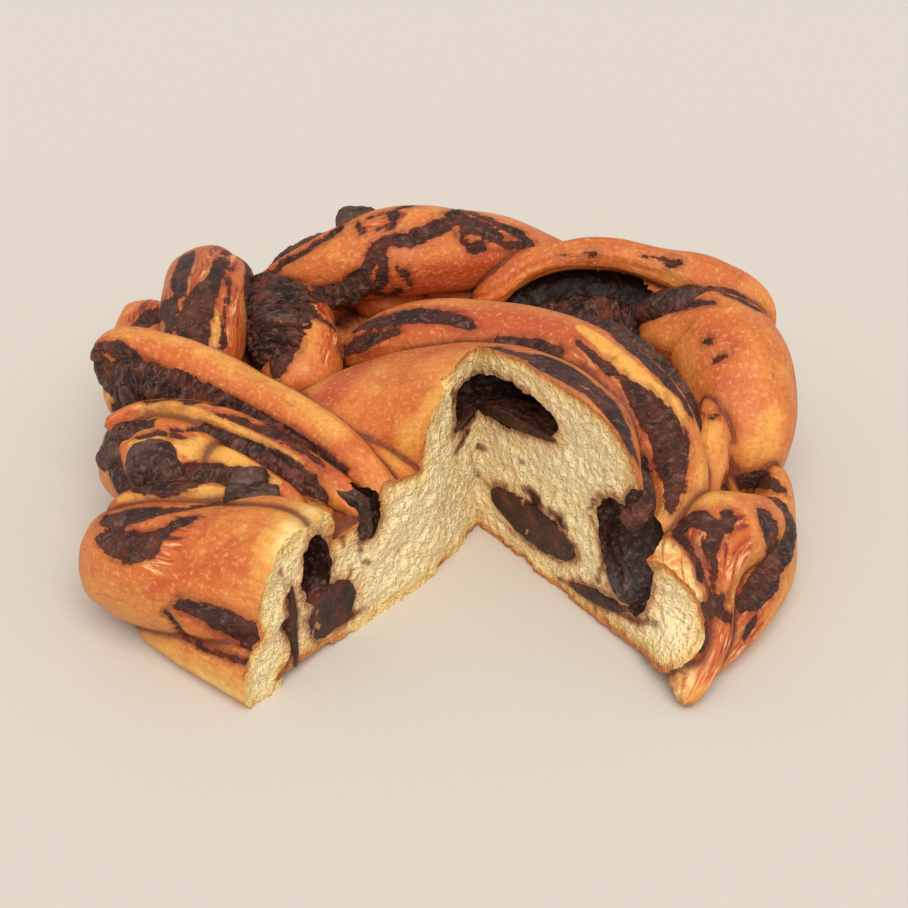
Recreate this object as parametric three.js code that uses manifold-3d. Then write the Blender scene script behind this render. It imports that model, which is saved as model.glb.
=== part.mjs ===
// A round loaf of twisted brioche dough with chocolate, with one wedge cut out
// of its front. Millimetres, +Z up, standing on z = 0, the wedge opening to -Y.
//
// Each strand of dough was rolled up with chocolate, split along its length and
// twisted, so that a smooth baked skin and the open layers take turns on top.
import * as THREE from "three";
import { mergeVertices } from "three/addons/utils/BufferGeometryUtils.js";
import Module from "manifold-3d";

const wasm = await Module();
wasm.setup();

// Driving dimensions
const GAP = 0.35; // left between the dough and each piece of chocolate in it
const STEP = 16; // length of one facet along a strand
const END_STEPS = 4; // the facets that round off its two ends
const WIDE = 12; // a strand this wide from its middle has more sides
const WIDE_SIDES = 11;
const SLIM_SIDES = 7;
const TALL = 140; // past the top and the sides of the loaf, for cutters
const BLUNT_BY = 4; // how long a strand keeps its girth before it rounds off
const BLUNT_END = 0.4; // and how bluntly it then ends
const SAME_POINT = 1e-4; // two corners this close are one
const MIDDLE = [1.0, 6.2]; // the middle of the loaf's outline, moved to the origin
const CORE_PROFILE = [[92, 0], [97, 10], [95, 24], [84, 34], [60, 39]];
const CORE_HEIGHT = 40; // the packed dough that the strands lie on
const CORE_SIDES = 28;

// The wedge: the point where its two cuts meet, and each cut from there outwards.
const CUT_APEX = [11, -4];
const CUT_LEFT = [[-2, -30], [-16, -47], [-31, -63], [-54, -93], [-80, -129]];
const CUT_RIGHT = [[36, -38], [58, -70], [67, -93], [85, -140]];
const CUT_RIGHT_HIGH = [[36, -38], [55, -64], [73, -80], [104, -122]]; // where it leans back
const LEAN_FROM = 6; // the heights between which the right cut leans back
const LEAN_TO = 24;

// A strand is a row of stations, each
// [x, y, z of its middle, half its width, half its depth, roll in degrees].
const STRANDS = {
  crown: [
    [-56, 2, 20, 22, 20, 0], [-32, -4, 32, 24, 22, 0], [-6, -6, 38, 27, 25, 0],
    [18, -18, 42, 29, 30, 0], [35, -37, 42, 26, 31, 0], [43, -54, 40, 17, 34, 0],
    [49, -66, 32, 11, 25, 0],
  ],
  inner_arc: [
    [-32, 35, 38, 8, 9, 0], [-22, 29, 47, 11, 12, 0], [-6, 24, 53, 13, 13, 0],
    [18, 14, 57, 14, 13, 0], [36, 5, 58, 14, 13, 0], [49, -5, 56, 14, 13, 15],
    [59, -14, 51, 14, 13, 30], [65, -21, 44, 13, 12, 40], [69, -29, 38, 11, 11, 45],
    [70, -38, 35, 9, 10, 45], [68, -47, 33, 8, 9, 45], [64, -55, 31, 6.5, 8, 45],
    [60, -62, 28, 5, 6, 45],
  ],
  back_roll: [
    [-64, 67, 47, 7, 7, 0], [-48, 66, 53, 10, 10, 0], [-31, 66, 58, 13, 13, 0],
    [-13, 68, 61, 15, 15, 0], [4, 71, 60, 14, 14, 0], [19, 77, 56, 12, 12, 0],
    [35, 85, 49, 9, 9, 0], [51, 89, 40, 8, 8, 0],
  ],
  back_arc: [
    [12, 65, 40, 6, 7, 0], [16, 61, 49, 6, 6.5, 0], [26, 65, 56, 5.5, 5.5, 0],
    [41, 67, 60, 5, 4.5, 0], [57, 67, 60, 5.5, 5, 0], [72, 63, 58, 6.5, 6.5, 0],
    [87, 58, 54, 9, 9, 0], [100, 50, 50, 10, 10, 0], [106, 45, 40, 10, 10, 0],
  ],
  valley_roll: [
    [-22, 48, 38, 8, 8, 0], [5, 44, 41, 12, 10, 0], [30, 36, 41, 14, 10, 0],
    [52, 30, 38, 13, 10, 0], [68, 12, 34, 9, 9, 0],
  ],
  back_body: [
    [-20, 84, 34, 16, 18, 0], [10, 82, 34, 18, 20, 0], [45, 76, 34, 20, 19, 0],
    [78, 58, 34, 20, 19, 0], [92, 40, 30, 18, 18, 0],
  ],
  right_roll: [
    [65, 48, 40, 8, 8, 0], [75, 45, 44, 13, 11, 0], [88, 39, 45, 18, 15, 0],
    [94, 23, 40, 19, 17, 0], [95, 9, 32, 18, 16, 0], [95, 0, 22, 15, 14, 0],
    [94, -7, 12, 12, 10, 0],
  ],
  right_band: [
    [83, 5, 43, 3, 3, 0], [83, -10, 37, 6, 7, 0], [80, -23, 31, 6, 7, 0],
    [72, -38, 28, 6, 6, 0], [63, -47, 26, 5, 5, 0],
  ],
  right_body: [
    [80, -28, 20, 13, 15, 0], [72, -50, 19, 15, 17, 0], [66, -68, 18, 14, 18, 0],
    [70, -88, 10, 10, 12, 0],
  ],
  right_end: [
    [101, -35, 25, 9, 9, 0], [92, -42, 27, 12, 11, 0], [80, -51, 29, 13, 13, 0],
    [74, -62, 23, 12, 13, 0], [74, -77, 11, 10, 9, 0], [68, -95, 3, 7, 5, 0],
  ],
  right_foot: [
    [104, -6, 24, 8, 10, 0], [102, -26, 16, 8, 12, 0], [97, -42, 12, 10, 11, 0],
    [88.5, -57.5, 10, 11, 10, 0], [78, -70.5, 8, 11, 9, 0], [70, -87, 5, 8.5, 6.5, 0],
  ],
  left_back_roll: [
    [-72, 80, 46, 11, 9, 0], [-78, 72, 49, 15, 11, 0], [-78, 51, 51, 15, 12, 0],
    [-77, 32, 48, 14, 13, 0], [-73, 17, 39, 12, 12, 0],
  ],
  left_inner_roll: [
    [-59, 75, 42, 10, 8, 0], [-51, 53, 44, 14, 12, 0], [-47, 33, 43, 14, 12, 0],
    [-44, 11, 38, 13, 12, 0],
  ],
  left_far_roll: [
    [-96, 66, 32, 9, 9, 0], [-99, 58, 35, 12, 12, 0], [-100, 40, 32, 12, 14, 0],
    [-98, 20, 27, 14, 16, 0],
  ],
  left_top_layer: [
    [-111, 13, 52, 4, 6, 0], [-101, 14, 56, 8, 7, 0], [-87, 9, 56.5, 7.5, 6.5, 0],
    [-70, 0, 55.5, 7.5, 6.5, 0], [-54, -11, 53.5, 7, 6, 0], [-38, -24, 50.5, 7, 6, 0],
    [-26, -36, 47, 6.5, 6, 0], [-17, -46, 42, 6, 6, 0], [-8, -57, 36, 5, 5, 0],
  ],
  left_second_layer: [
    [-103, -16, 46, 4, 5, 0], [-89, -12, 47.5, 5, 6, 0], [-72, -17.5, 49.5, 5, 5.5, 0],
    [-55, -27, 48, 5, 5.5, 0], [-39, -39, 45, 5, 5.5, 0], [-28, -48, 42, 5, 5.5, 0],
    [-20, -55, 38, 4, 5, 0],
  ],
  left_inner_layer: [
    [-97, -26, 38, 5, 5, 0], [-81, -26, 41, 6, 6, 0], [-65, -33, 42.5, 5.5, 6, 0],
    [-51, -43, 41.5, 4, 6, 0], [-40, -53, 40, 4, 6, 0],
  ],
  left_third_layer: [
    [-99, -46, 33, 5, 6, 0], [-86, -43, 37, 5, 6, 0], [-70, -45, 39, 5, 6, 0],
    [-56, -49, 39, 5, 6, 0],
  ],
  left_body: [
    [-96, 10, 30, 14, 18, 0], [-86, -10, 32, 20, 17, 0], [-66, -30, 28, 24, 16, 0],
    [-44, -48, 26, 24, 16, 0], [-28, -64, 24, 18, 16, 0],
  ],
  left_front_roll: [
    [-105, -41, 17, 8, 12, 0], [-98, -47, 19, 14, 17, 0], [-83, -56, 23, 18, 20, 0],
    [-64, -64, 25, 20, 22, 0], [-46, -72, 27, 20, 25, 0], [-30, -86, 28, 20, 26, 0],
  ],
  left_front_edge: [
    [-74, -53, 36, 6, 6, 0], [-60, -55, 39, 7, 6.5, 0], [-46, -60, 42, 7, 7, 0],
    [-34, -68, 43, 7, 7, 0], [-22, -79, 43, 6, 6, 0],
  ],
  left_shoulder: [
    [-62, 4, 36, 12, 12, 0], [-44, -10, 36, 15, 14, 0], [-28, -26, 35.5, 15, 13.5, 0],
    [-13, -40, 33, 14, 12.5, 0], [-2, -52, 30, 12, 11, 0],
  ],
  left_foot: [
    [-90, -52, 5, 8, 7, 0], [-82, -59, 6, 10, 8.5, 0], [-73, -68, 7, 10, 10, 0],
    [-64, -76, 8, 10, 11, 0], [-54, -86, 9, 10, 13, 0], [-42, -98, 10, 10, 14, 0],
  ],
};

// The back of the loaf repeats one roll that rises from the foot to the top,
// each leaning on the next: [reach from the middle, z, turn, half width, half depth].
const SIDE_ROLLS = 5;
const SIDE_START = 42; // degrees from +X
const SIDE_STEP = 31;
const SIDE_RISE = [
  [88, 10, -8, 13, 12], [90, 20, 10, 19, 17], [86, 34, 26, 19, 17], [74, 46, 40, 14, 12],
];

// The air pockets that the cuts opened, as strands that run in from a cut.
const POCKETS = {
  crown_pocket: [
    [8.3, -24.5, 53.3, 25, 11, -11], [15.7, -19.1, 53.5, 25, 8.5, -11],
    [26.3, -11.5, 54.2, 22, 7, -11], [36, -4.5, 54.5, 13, 5, -11],
  ],
  side_pocket: [
    [39, -70, 30, 8, 17, -22], [50, -62, 30, 10.5, 18.5, -22], [58, -56, 31, 9, 16, -22],
    [64, -51, 31, 4, 8, -22],
  ],
  side_hollow: [
    [46, -74, 46, 7, 9, 0], [55, -67, 46, 8, 10.5, 0], [60, -63.5, 45, 7, 9, 0],
    [64, -60.5, 45, 3, 5, 0],
  ],
  left_pocket: [
    [-24, -78, 31, 6, 12, 0], [-36, -69, 31, 6, 12, 0], [-48, -60, 30, 4, 9, 0],
  ],
  back_pocket: [
    [15, 62, 43, 5, 5, 0], [28, 63, 44, 11, 8, 0], [45, 64, 46, 13, 8, 0],
    [62, 62, 45, 12, 8, 0], [76, 56, 43, 10, 7, 0], [86, 50, 41, 6, 5, 0],
  ],
  groove_pocket: [
    [-12, -59, 39, 4, 9, 0], [-22, -51, 39, 4, 9, 0], [-32, -44, 38, 3, 6, 0],
  ],
};

// The chocolate filling: flat strands that run through the dough and show at a
// cut, on top between the layers, or both.
const FILLINGS = {
  filling_lens: [
    [12, -38, 17, 21, 7, 0], [27, -27, 17, 21, 7, 0], [45, -14, 17, 19, 7, 0],
    [62, 0, 18, 15, 6, 0], [76, 12, 18, 9, 5, 0],
  ],
  filling_crown: [
    [9, -29, 48.4, 21, 1.8, -11], [18, -22.3, 49.2, 21, 1.8, -11],
    [28.6, -14.7, 49.7, 19, 1.8, -11], [38.3, -7.7, 50.2, 12, 1.5, -11],
  ],
  filling_side: [
    [56.5, -43, 46, 4, 5, 0], [57, -50, 45.5, 5, 6.5, 0], [56.5, -56, 42, 5, 6, 0],
    [56.5, -60, 38, 3.5, 4.5, 0],
  ],
  filling_low: [
    [33, -62, 9, 14, 2, -13], [46, -53, 9, 14, 2, -13], [62, -41, 10, 13, 2, -13],
    [76, -31, 10, 8, 2, -13],
  ],
  filling_left_wall: [
    [-21, -74, 14, 10, 9, 0], [-33, -65, 14, 10, 9, 0], [-50, -53, 14, 9, 8, 0],
    [-66, -41, 15, 6, 5, 0],
  ],
  filling_left_edge: [
    [-34, -86, 18, 1.4, 15, 0], [-43, -78, 18, 1.4, 15, 0], [-55, -70, 18, 1.4, 13, 0],
    [-67, -61, 18, 1.4, 8, 0],
  ],
  filling_left_top: [
    [-109, 19, 46, 6, 8, 0], [-100, 10, 47.5, 7, 9, 0], [-86, 1, 49, 7, 8, 0],
    [-70, -8, 48.5, 6, 7, 0], [-54, -19, 46.5, 5.5, 6.5, 0], [-40, -30, 43.5, 5.5, 6.5, 0],
    [-29, -40, 40, 5, 6, 0], [-21, -47, 36, 4, 6, 0],
  ],
  filling_left_middle: [
    [-101, -18, 42, 7, 7, 0], [-89, -20, 45, 6, 5, 0], [-72, -21, 46, 6, 5, 0],
    [-56, -27, 44, 6, 6, 0], [-44, -36, 42, 6, 6, 0], [-33, -46, 40, 6, 6, 0],
  ],
  filling_left_low: [
    [-100, -26, 34, 8, 8, 0], [-85, -29, 36, 10, 8, 0], [-69, -35, 38, 9, 7, 0],
    [-55, -42, 40, 9, 7, 0], [-45, -46, 40, 6, 5, 0],
  ],
  filling_left_back: [
    [-62, 71, 45, 8, 8, 0], [-54, 50, 48, 12, 9.5, 0], [-51, 33, 47.5, 12, 9.5, 0],
    [-52, 19, 44, 9, 8, 0],
  ],
  filling_back_left: [
    [-60, 69, 47, 5, 5, 0], [-52, 74, 52, 6, 5, 0], [-42, 78, 56, 6, 5, 0],
    [-32, 81, 59, 5, 5, 0],
  ],
  filling_back_low: [
    [-49, 59, 46, 6, 5, 0], [-40, 58, 50, 7, 5, 0], [-29, 59, 54, 7, 5, 0],
    [-23, 62, 60, 5, 5, 0], [-19, 63, 66, 4, 4, 0],
  ],
  filling_back_hollow: [
    [26, 56, 38, 6, 5, 0], [36, 54, 41, 9, 7, 0], [50, 53, 42, 9, 8, 0], [62, 52, 41, 8, 7, 0],
    [70, 52, 39, 5, 5, 0],
  ],
  filling_inner_arc: [
    [42, 19, 62, 4, 4, 0], [53, 13, 60, 5, 5, 20], [64, 5, 54, 6, 6, 30],
    [72, -4, 46, 6, 6, 40], [74, -13, 37, 6, 6, 45], [71, -24, 28, 5, 5, 45],
  ],
  filling_right_top: [
    [63, 48, 48, 5, 5, 0], [74, 46, 53, 6, 5, 0], [86, 46, 54, 6, 5, 0],
    [97, 46, 52, 5, 5, 0], [105, 47, 46, 5, 5, 0],
  ],
  filling_right_end: [[79, -64, 24, 5, 5, 0], [79, -69, 17, 7, 6, 0], [79, -74, 8, 5, 5, 0]],
  filling_right_foot: [[100, -28, 27, 5, 5, 0], [99, -42, 22, 7, 6, 0], [96, -51, 14, 6, 6, 0]],
};

// Loose lumps and sticks of chocolate, as short strands of few sides.
const CHUNKS = {
  chunk_back: [
    [-36, 74, 67.5, 6, 6, 0], [-21, 74, 69, 6, 6, 0],
  ],
  chunk_left_end: [
    [-109, 17, 47, 5, 6, 0], [-101, 14, 47, 6, 6, 0],
  ],
  chunk_left_hole: [
    [-101, 4, 45, 5, 5.5, 0], [-92, 3, 46, 5, 5.5, 0],
  ],
  chunk_left_far: [
    [-101, -17, 41, 6.5, 7.5, 0], [-96, -22, 36, 6.5, 7.5, 0],
  ],
  chunk_left_large: [
    [-94, -33, 42, 8.5, 8.5, 0], [-76, -34, 44, 8.5, 8.5, 0],
  ],
  stick_lower: [
    [-63, -51, 43.5, 4.5, 4, 0], [-47, -51, 43.5, 4.5, 4, 0],
  ],
  stick_upper: [
    [-62, -45, 45, 4, 3.5, 0], [-51, -45, 46, 4, 3.5, 0],
  ],
  stick_wall: [
    [-16, -60, 39, 2.5, 8, 0], [-33, -45, 39, 2.5, 7, 0],
  ],
};

const merged = (geometry) => {
  const bare = geometry.index ? geometry.toNonIndexed() : geometry.clone();
  bare.deleteAttribute("normal");
  bare.deleteAttribute("uv");
  return mergeVertices(bare, SAME_POINT);
};

function solid(geometry) {
  const g = merged(geometry);
  return new wasm.Manifold(
    new wasm.Mesh({
      numProp: 3,
      vertProperties: g.attributes.position.array,
      triVerts: new Uint32Array(g.index.array),
    }),
  );
}

function geometryOf(body) {
  const mesh = body.getMesh();
  return new THREE.BufferGeometry()
    .setAttribute("position", new THREE.BufferAttribute(mesh.vertProperties, 3))
    .setIndex(new THREE.BufferAttribute(mesh.triVerts, 1));
}

// A unit sphere laid out along a strand: its poles become the strand's ends.
function strand(stations, grow = 0) {
  const line = new THREE.CatmullRomCurve3(
    stations.map(([x, y, z]) => new THREE.Vector3(x, y, z)));
  const size = new THREE.CatmullRomCurve3(
    stations.map(([, , , wide, deep, roll]) => new THREE.Vector3(wide + grow, deep + grow, roll)));
  const sides = Math.max(...stations.map((s) => s[3])) < WIDE ? SLIM_SIDES : WIDE_SIDES;
  const steps = Math.round(line.getLength() / STEP) + END_STEPS;
  const ball = merged(new THREE.SphereGeometry(1, sides, steps));
  const place = ball.attributes.position;
  const up = new THREE.Vector3(0, 0, 1);
  for (let i = 0; i < place.count; i++) {
    const p = new THREE.Vector3().fromBufferAttribute(place, i);
    const t = Math.acos(THREE.MathUtils.clamp(p.y, -1, 1)) / Math.PI;
    const [wide, deep, roll] = size.getPoint(t).toArray();
    const blunt = Math.pow(1 - Math.pow(Math.abs(2 * t - 1), BLUNT_BY), BLUNT_END);
    const angle = Math.atan2(p.z, p.x);
    const along = line.getTangent(t);
    const side = new THREE.Vector3().crossVectors(along, up).normalize();
    const out = new THREE.Vector3().crossVectors(side, along);
    side.applyAxisAngle(along, THREE.MathUtils.degToRad(roll));
    out.applyAxisAngle(along, THREE.MathUtils.degToRad(roll));
    const at = line.getPoint(t)
      .addScaledVector(side, wide * blunt * Math.cos(angle))
      .addScaledVector(out, -deep * blunt * Math.sin(angle));
    place.setXYZ(i, at.x, at.y, at.z);
  }
  return solid(ball);
}

function core() {
  const profile = [[0, 0], ...CORE_PROFILE, [0, CORE_HEIGHT]];
  const rim = profile.map(([reach, z]) => new THREE.Vector2(reach, z));
  return solid(new THREE.LatheGeometry(rim, CORE_SIDES).rotateX(Math.PI / 2));
}

// An outline raised from one height to another, where it may have another form.
function prism(points, low, high, above = points) {
  const outline = new THREE.Shape(points.map(([x, y]) => new THREE.Vector2(x, y)));
  const wall = new THREE.ExtrudeGeometry(outline, { depth: high - low, bevelEnabled: false });
  const place = wall.attributes.position;
  for (let i = 0; i < place.count; i++) {
    const [px, py] = [place.getX(i), place.getY(i)];
    const corner = points.findIndex(([x, y]) => Math.hypot(x - px, y - py) < SAME_POINT);
    if (place.getZ(i) > 0) place.setXY(i, ...above[corner]);
  }
  return solid(wall.translate(0, 0, low));
}

function sideRoll(i) {
  return SIDE_RISE.map(([reach, z, turn, wide, deep]) => {
    const a = THREE.MathUtils.degToRad(SIDE_START + i * SIDE_STEP + turn);
    return [reach * Math.cos(a), reach * Math.sin(a), z, wide, deep, 0];
  });
}

// The largest of the bodies that a cut leaves, with no scrap and no sealed hollow.
const largest = (body) => body.decompose().reduce((a, b) => (a.volume() > b.volume() ? a : b));

const wedgeLow = [CUT_APEX, ...CUT_LEFT, ...[...CUT_RIGHT].reverse()];
const wedgeHigh = [CUT_APEX, ...CUT_LEFT, ...[...CUT_RIGHT_HIGH].reverse()];
const wedge = prism(wedgeLow, -TALL, LEAN_FROM)
  .add(prism(wedgeLow, LEAN_FROM, LEAN_TO, wedgeHigh))
  .add(prism(wedgeHigh, LEAN_TO, TALL));
const corners = [[-TALL, -TALL], [TALL, -TALL], [TALL, TALL], [-TALL, TALL]];
const belowFloor = prism(corners, -TALL, 0);
const trimmed = (body) => body.subtract(wedge).subtract(belowFloor);

// Each piece of chocolate, cut clear of the ones before it.
function chocolate() {
  const made = {};
  let taken = null;
  for (const [name, stations] of Object.entries({ ...CHUNKS, ...FILLINGS })) {
    const body = trimmed(strand(stations));
    const grown = strand(stations, GAP);
    made[name] = largest(taken ? body.subtract(taken) : body);
    taken = taken ? taken.add(grown) : grown;
  }
  return { made, taken };
}

function dough(taken) {
  let body = core();
  for (let i = 0; i < SIDE_ROLLS; i++) body = body.add(strand(sideRoll(i)));
  for (const stations of Object.values(STRANDS)) body = body.add(strand(stations));
  for (const stations of Object.values(POCKETS)) body = body.subtract(strand(stations));
  return largest(trimmed(body.subtract(taken)));
}

const CRUST = { color: 0xc8793f, roughness: 0.6, metalness: 0 };
const CHOCOLATE = { color: 0x4a2c22, roughness: 0.5, metalness: 0 };

function mesh(name, body, finish) {
  const placed = geometryOf(body).translate(-MIDDLE[0], -MIDDLE[1], 0);
  const made = new THREE.Mesh(placed, new THREE.MeshStandardMaterial(finish));
  made.name = name;
  return made;
}

const { made, taken } = chocolate();
const loaf = new THREE.Group();
loaf.add(mesh("dough", dough(taken), CRUST));
for (const [name, body] of Object.entries(made)) loaf.add(mesh(name, body, CHOCOLATE));
export default loaf;
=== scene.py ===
"""The looks of a round, twisted chocolate loaf with one wedge cut out of its front."""

import math

import bmesh
import bpy
import numpy as np
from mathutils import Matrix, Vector, noise
from mathutils.bvhtree import BVHTree
from mathutils.kdtree import KDTree


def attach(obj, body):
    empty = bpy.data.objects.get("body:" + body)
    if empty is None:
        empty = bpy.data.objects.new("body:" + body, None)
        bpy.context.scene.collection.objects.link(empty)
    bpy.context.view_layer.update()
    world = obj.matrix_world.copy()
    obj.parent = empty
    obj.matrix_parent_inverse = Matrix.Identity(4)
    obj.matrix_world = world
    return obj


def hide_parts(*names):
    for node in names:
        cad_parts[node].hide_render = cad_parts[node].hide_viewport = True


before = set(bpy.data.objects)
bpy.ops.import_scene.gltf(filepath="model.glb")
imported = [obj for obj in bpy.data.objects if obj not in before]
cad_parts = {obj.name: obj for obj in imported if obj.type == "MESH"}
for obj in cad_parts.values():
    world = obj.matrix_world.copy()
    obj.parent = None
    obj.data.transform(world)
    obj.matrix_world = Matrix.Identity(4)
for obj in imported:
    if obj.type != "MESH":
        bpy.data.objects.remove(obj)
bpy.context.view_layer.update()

MM = 0.001
GRAIN = 1.5  # length of one facet of the dough, in mm
FINE = 0.9  # of the chocolate and the cut walls
MIDDLE = np.array([1.0, 6.2, 0.0])  # the middle of the loaf's outline, moved to the origin
UP = np.array([0.0, 0.0, 1.0])

# The camera, in mm before the shift by MIDDLE
PICTURE = 908  # pixels a side
PIXELS_DEEP = 2053  # distance to the picture plane, in pixels
SENSOR = 36
AIM = np.array([3.5, 0.0, 25.0])
DISTANCE = 650
CAMERA_HEIGHT = math.radians(34)

CORE_PROFILE = [(92, 0), (97, 10), (95, 24), (84, 34), (60, 39)]
CORE_HEIGHT = 40
CUT_APEX = (11, -4)
CUT_LEFT = [(-2, -30), (-16, -47), (-31, -63), (-54, -93), (-80, -129)]
CUT_RIGHT = [(36, -38), (58, -70), (67, -93), (85, -140)]
CUT_RIGHT_HIGH = [(36, -38), (55, -64), (73, -80), (104, -122)]  # where the tear leans back
LEAN_FROM, LEAN_TO = 6, 24  # the heights between which it does

# A strand is a row of stations, each
# [x, y, z of its middle, half its width, half its depth, roll in degrees].
STRANDS = {
    "crown": [
        [-56, 2, 20, 22, 20, 0], [-32, -4, 32, 24, 22, 0], [-6, -6, 38, 27, 25, 0],
        [18, -18, 42, 29, 30, 0], [35, -37, 42, 26, 31, 0], [43, -54, 40, 17, 34, 0],
        [49, -66, 32, 11, 25, 0],
    ],
    "inner_arc": [
        [-32, 35, 38, 8, 9, 0], [-22, 29, 47, 11, 12, 0], [-6, 24, 53, 13, 13, 0],
        [18, 14, 57, 14, 13, 0], [36, 5, 58, 14, 13, 0], [49, -5, 56, 14, 13, 15],
        [59, -14, 51, 14, 13, 30], [65, -21, 44, 13, 12, 40], [69, -29, 38, 11, 11, 45],
        [70, -38, 35, 9, 10, 45], [68, -47, 33, 8, 9, 45], [64, -55, 31, 6.5, 8, 45],
        [60, -62, 28, 5, 6, 45],
    ],
    "back_roll": [
        [-64, 67, 47, 7, 7, 0], [-48, 66, 53, 10, 10, 0], [-31, 66, 58, 13, 13, 0],
        [-13, 68, 61, 15, 15, 0], [4, 71, 60, 14, 14, 0], [19, 77, 56, 12, 12, 0],
        [35, 85, 49, 9, 9, 0], [51, 89, 40, 8, 8, 0],
    ],
    "back_arc": [
        [12, 65, 40, 6, 7, 0], [16, 61, 49, 6, 6.5, 0], [26, 65, 56, 5.5, 5.5, 0],
        [41, 67, 60, 5, 4.5, 0], [57, 67, 60, 5.5, 5, 0], [72, 63, 58, 6.5, 6.5, 0],
        [87, 58, 54, 9, 9, 0], [100, 50, 50, 10, 10, 0], [106, 45, 40, 10, 10, 0],
    ],
    "valley_roll": [
        [-22, 48, 38, 8, 8, 0], [5, 44, 41, 12, 10, 0], [30, 36, 41, 14, 10, 0],
        [52, 30, 38, 13, 10, 0], [68, 12, 34, 9, 9, 0],
    ],
    "back_body": [
        [-20, 84, 34, 16, 18, 0], [10, 82, 34, 18, 20, 0], [45, 76, 34, 20, 19, 0],
        [78, 58, 34, 20, 19, 0], [92, 40, 30, 18, 18, 0],
    ],
    "right_roll": [
        [65, 48, 40, 8, 8, 0], [75, 45, 44, 13, 11, 0], [88, 39, 45, 18, 15, 0],
        [94, 23, 40, 19, 17, 0], [95, 9, 32, 18, 16, 0], [95, 0, 22, 15, 14, 0],
        [94, -7, 12, 12, 10, 0],
    ],
    "right_band": [
        [83, 5, 43, 3, 3, 0], [83, -10, 37, 6, 7, 0], [80, -23, 31, 6, 7, 0],
        [72, -38, 28, 6, 6, 0], [63, -47, 26, 5, 5, 0],
    ],
    "right_body": [
        [80, -28, 20, 13, 15, 0], [72, -50, 19, 15, 17, 0], [66, -68, 18, 14, 18, 0],
        [70, -88, 10, 10, 12, 0],
    ],
    "right_end": [
        [101, -35, 25, 9, 9, 0], [92, -42, 27, 12, 11, 0], [80, -51, 29, 13, 13, 0],
        [74, -62, 23, 12, 13, 0], [74, -77, 11, 10, 9, 0], [68, -95, 3, 7, 5, 0],
    ],
    "right_foot": [
        [104, -6, 24, 8, 10, 0], [102, -26, 16, 8, 12, 0], [97, -42, 12, 10, 11, 0],
        [88.5, -57.5, 10, 11, 10, 0], [78, -70.5, 8, 11, 9, 0], [70, -87, 5, 8.5, 6.5, 0],
    ],
    "left_back_roll": [
        [-72, 80, 46, 11, 9, 0], [-78, 72, 49, 15, 11, 0], [-78, 51, 51, 15, 12, 0],
        [-77, 32, 48, 14, 13, 0], [-73, 17, 39, 12, 12, 0],
    ],
    "left_inner_roll": [
        [-59, 75, 42, 10, 8, 0], [-51, 53, 44, 14, 12, 0], [-47, 33, 43, 14, 12, 0],
        [-44, 11, 38, 13, 12, 0],
    ],
    "left_far_roll": [
        [-96, 66, 32, 9, 9, 0], [-99, 58, 35, 12, 12, 0], [-100, 40, 32, 12, 14, 0],
        [-98, 20, 27, 14, 16, 0],
    ],
    "left_top_layer": [
        [-111, 13, 52, 4, 6, 0], [-101, 14, 56, 8, 7, 0], [-87, 9, 56.5, 7.5, 6.5, 0],
        [-70, 0, 55.5, 7.5, 6.5, 0], [-54, -11, 53.5, 7, 6, 0], [-38, -24, 50.5, 7, 6, 0],
        [-26, -36, 47, 6.5, 6, 0], [-17, -46, 42, 6, 6, 0], [-8, -57, 36, 5, 5, 0],
    ],
    "left_second_layer": [
        [-103, -16, 46, 4, 5, 0], [-89, -12, 47.5, 5, 6, 0], [-72, -17.5, 49.5, 5, 5.5, 0],
        [-55, -27, 48, 5, 5.5, 0], [-39, -39, 45, 5, 5.5, 0], [-28, -48, 42, 5, 5.5, 0],
        [-20, -55, 38, 4, 5, 0],
    ],
    "left_inner_layer": [
        [-97, -26, 38, 5, 5, 0], [-81, -26, 41, 6, 6, 0], [-65, -33, 42.5, 5.5, 6, 0],
        [-51, -43, 41.5, 4, 6, 0], [-40, -53, 40, 4, 6, 0],
    ],
    "left_third_layer": [
        [-99, -46, 33, 5, 6, 0], [-86, -43, 37, 5, 6, 0], [-70, -45, 39, 5, 6, 0],
        [-56, -49, 39, 5, 6, 0],
    ],
    "left_body": [
        [-96, 10, 30, 14, 18, 0], [-86, -10, 32, 20, 17, 0], [-66, -30, 28, 24, 16, 0],
        [-44, -48, 26, 24, 16, 0], [-28, -64, 24, 18, 16, 0],
    ],
    "left_front_roll": [
        [-105, -41, 17, 8, 12, 0], [-98, -47, 19, 14, 17, 0], [-83, -56, 23, 18, 20, 0],
        [-64, -64, 25, 20, 22, 0], [-46, -72, 27, 20, 25, 0], [-30, -86, 28, 20, 26, 0],
    ],
    "left_front_edge": [
        [-74, -53, 36, 6, 6, 0], [-60, -55, 39, 7, 6.5, 0], [-46, -60, 42, 7, 7, 0],
        [-34, -68, 43, 7, 7, 0], [-22, -79, 43, 6, 6, 0],
    ],
    "left_shoulder": [
        [-62, 4, 36, 12, 12, 0], [-44, -10, 36, 15, 14, 0], [-28, -26, 35.5, 15, 13.5, 0],
        [-13, -40, 33, 14, 12.5, 0], [-2, -52, 30, 12, 11, 0],
    ],
    "left_foot": [
        [-90, -52, 5, 8, 7, 0], [-82, -59, 6, 10, 8.5, 0], [-73, -68, 7, 10, 10, 0],
        [-64, -76, 8, 10, 11, 0], [-54, -86, 9, 10, 13, 0], [-42, -98, 10, 10, 14, 0],
    ],
}

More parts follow.
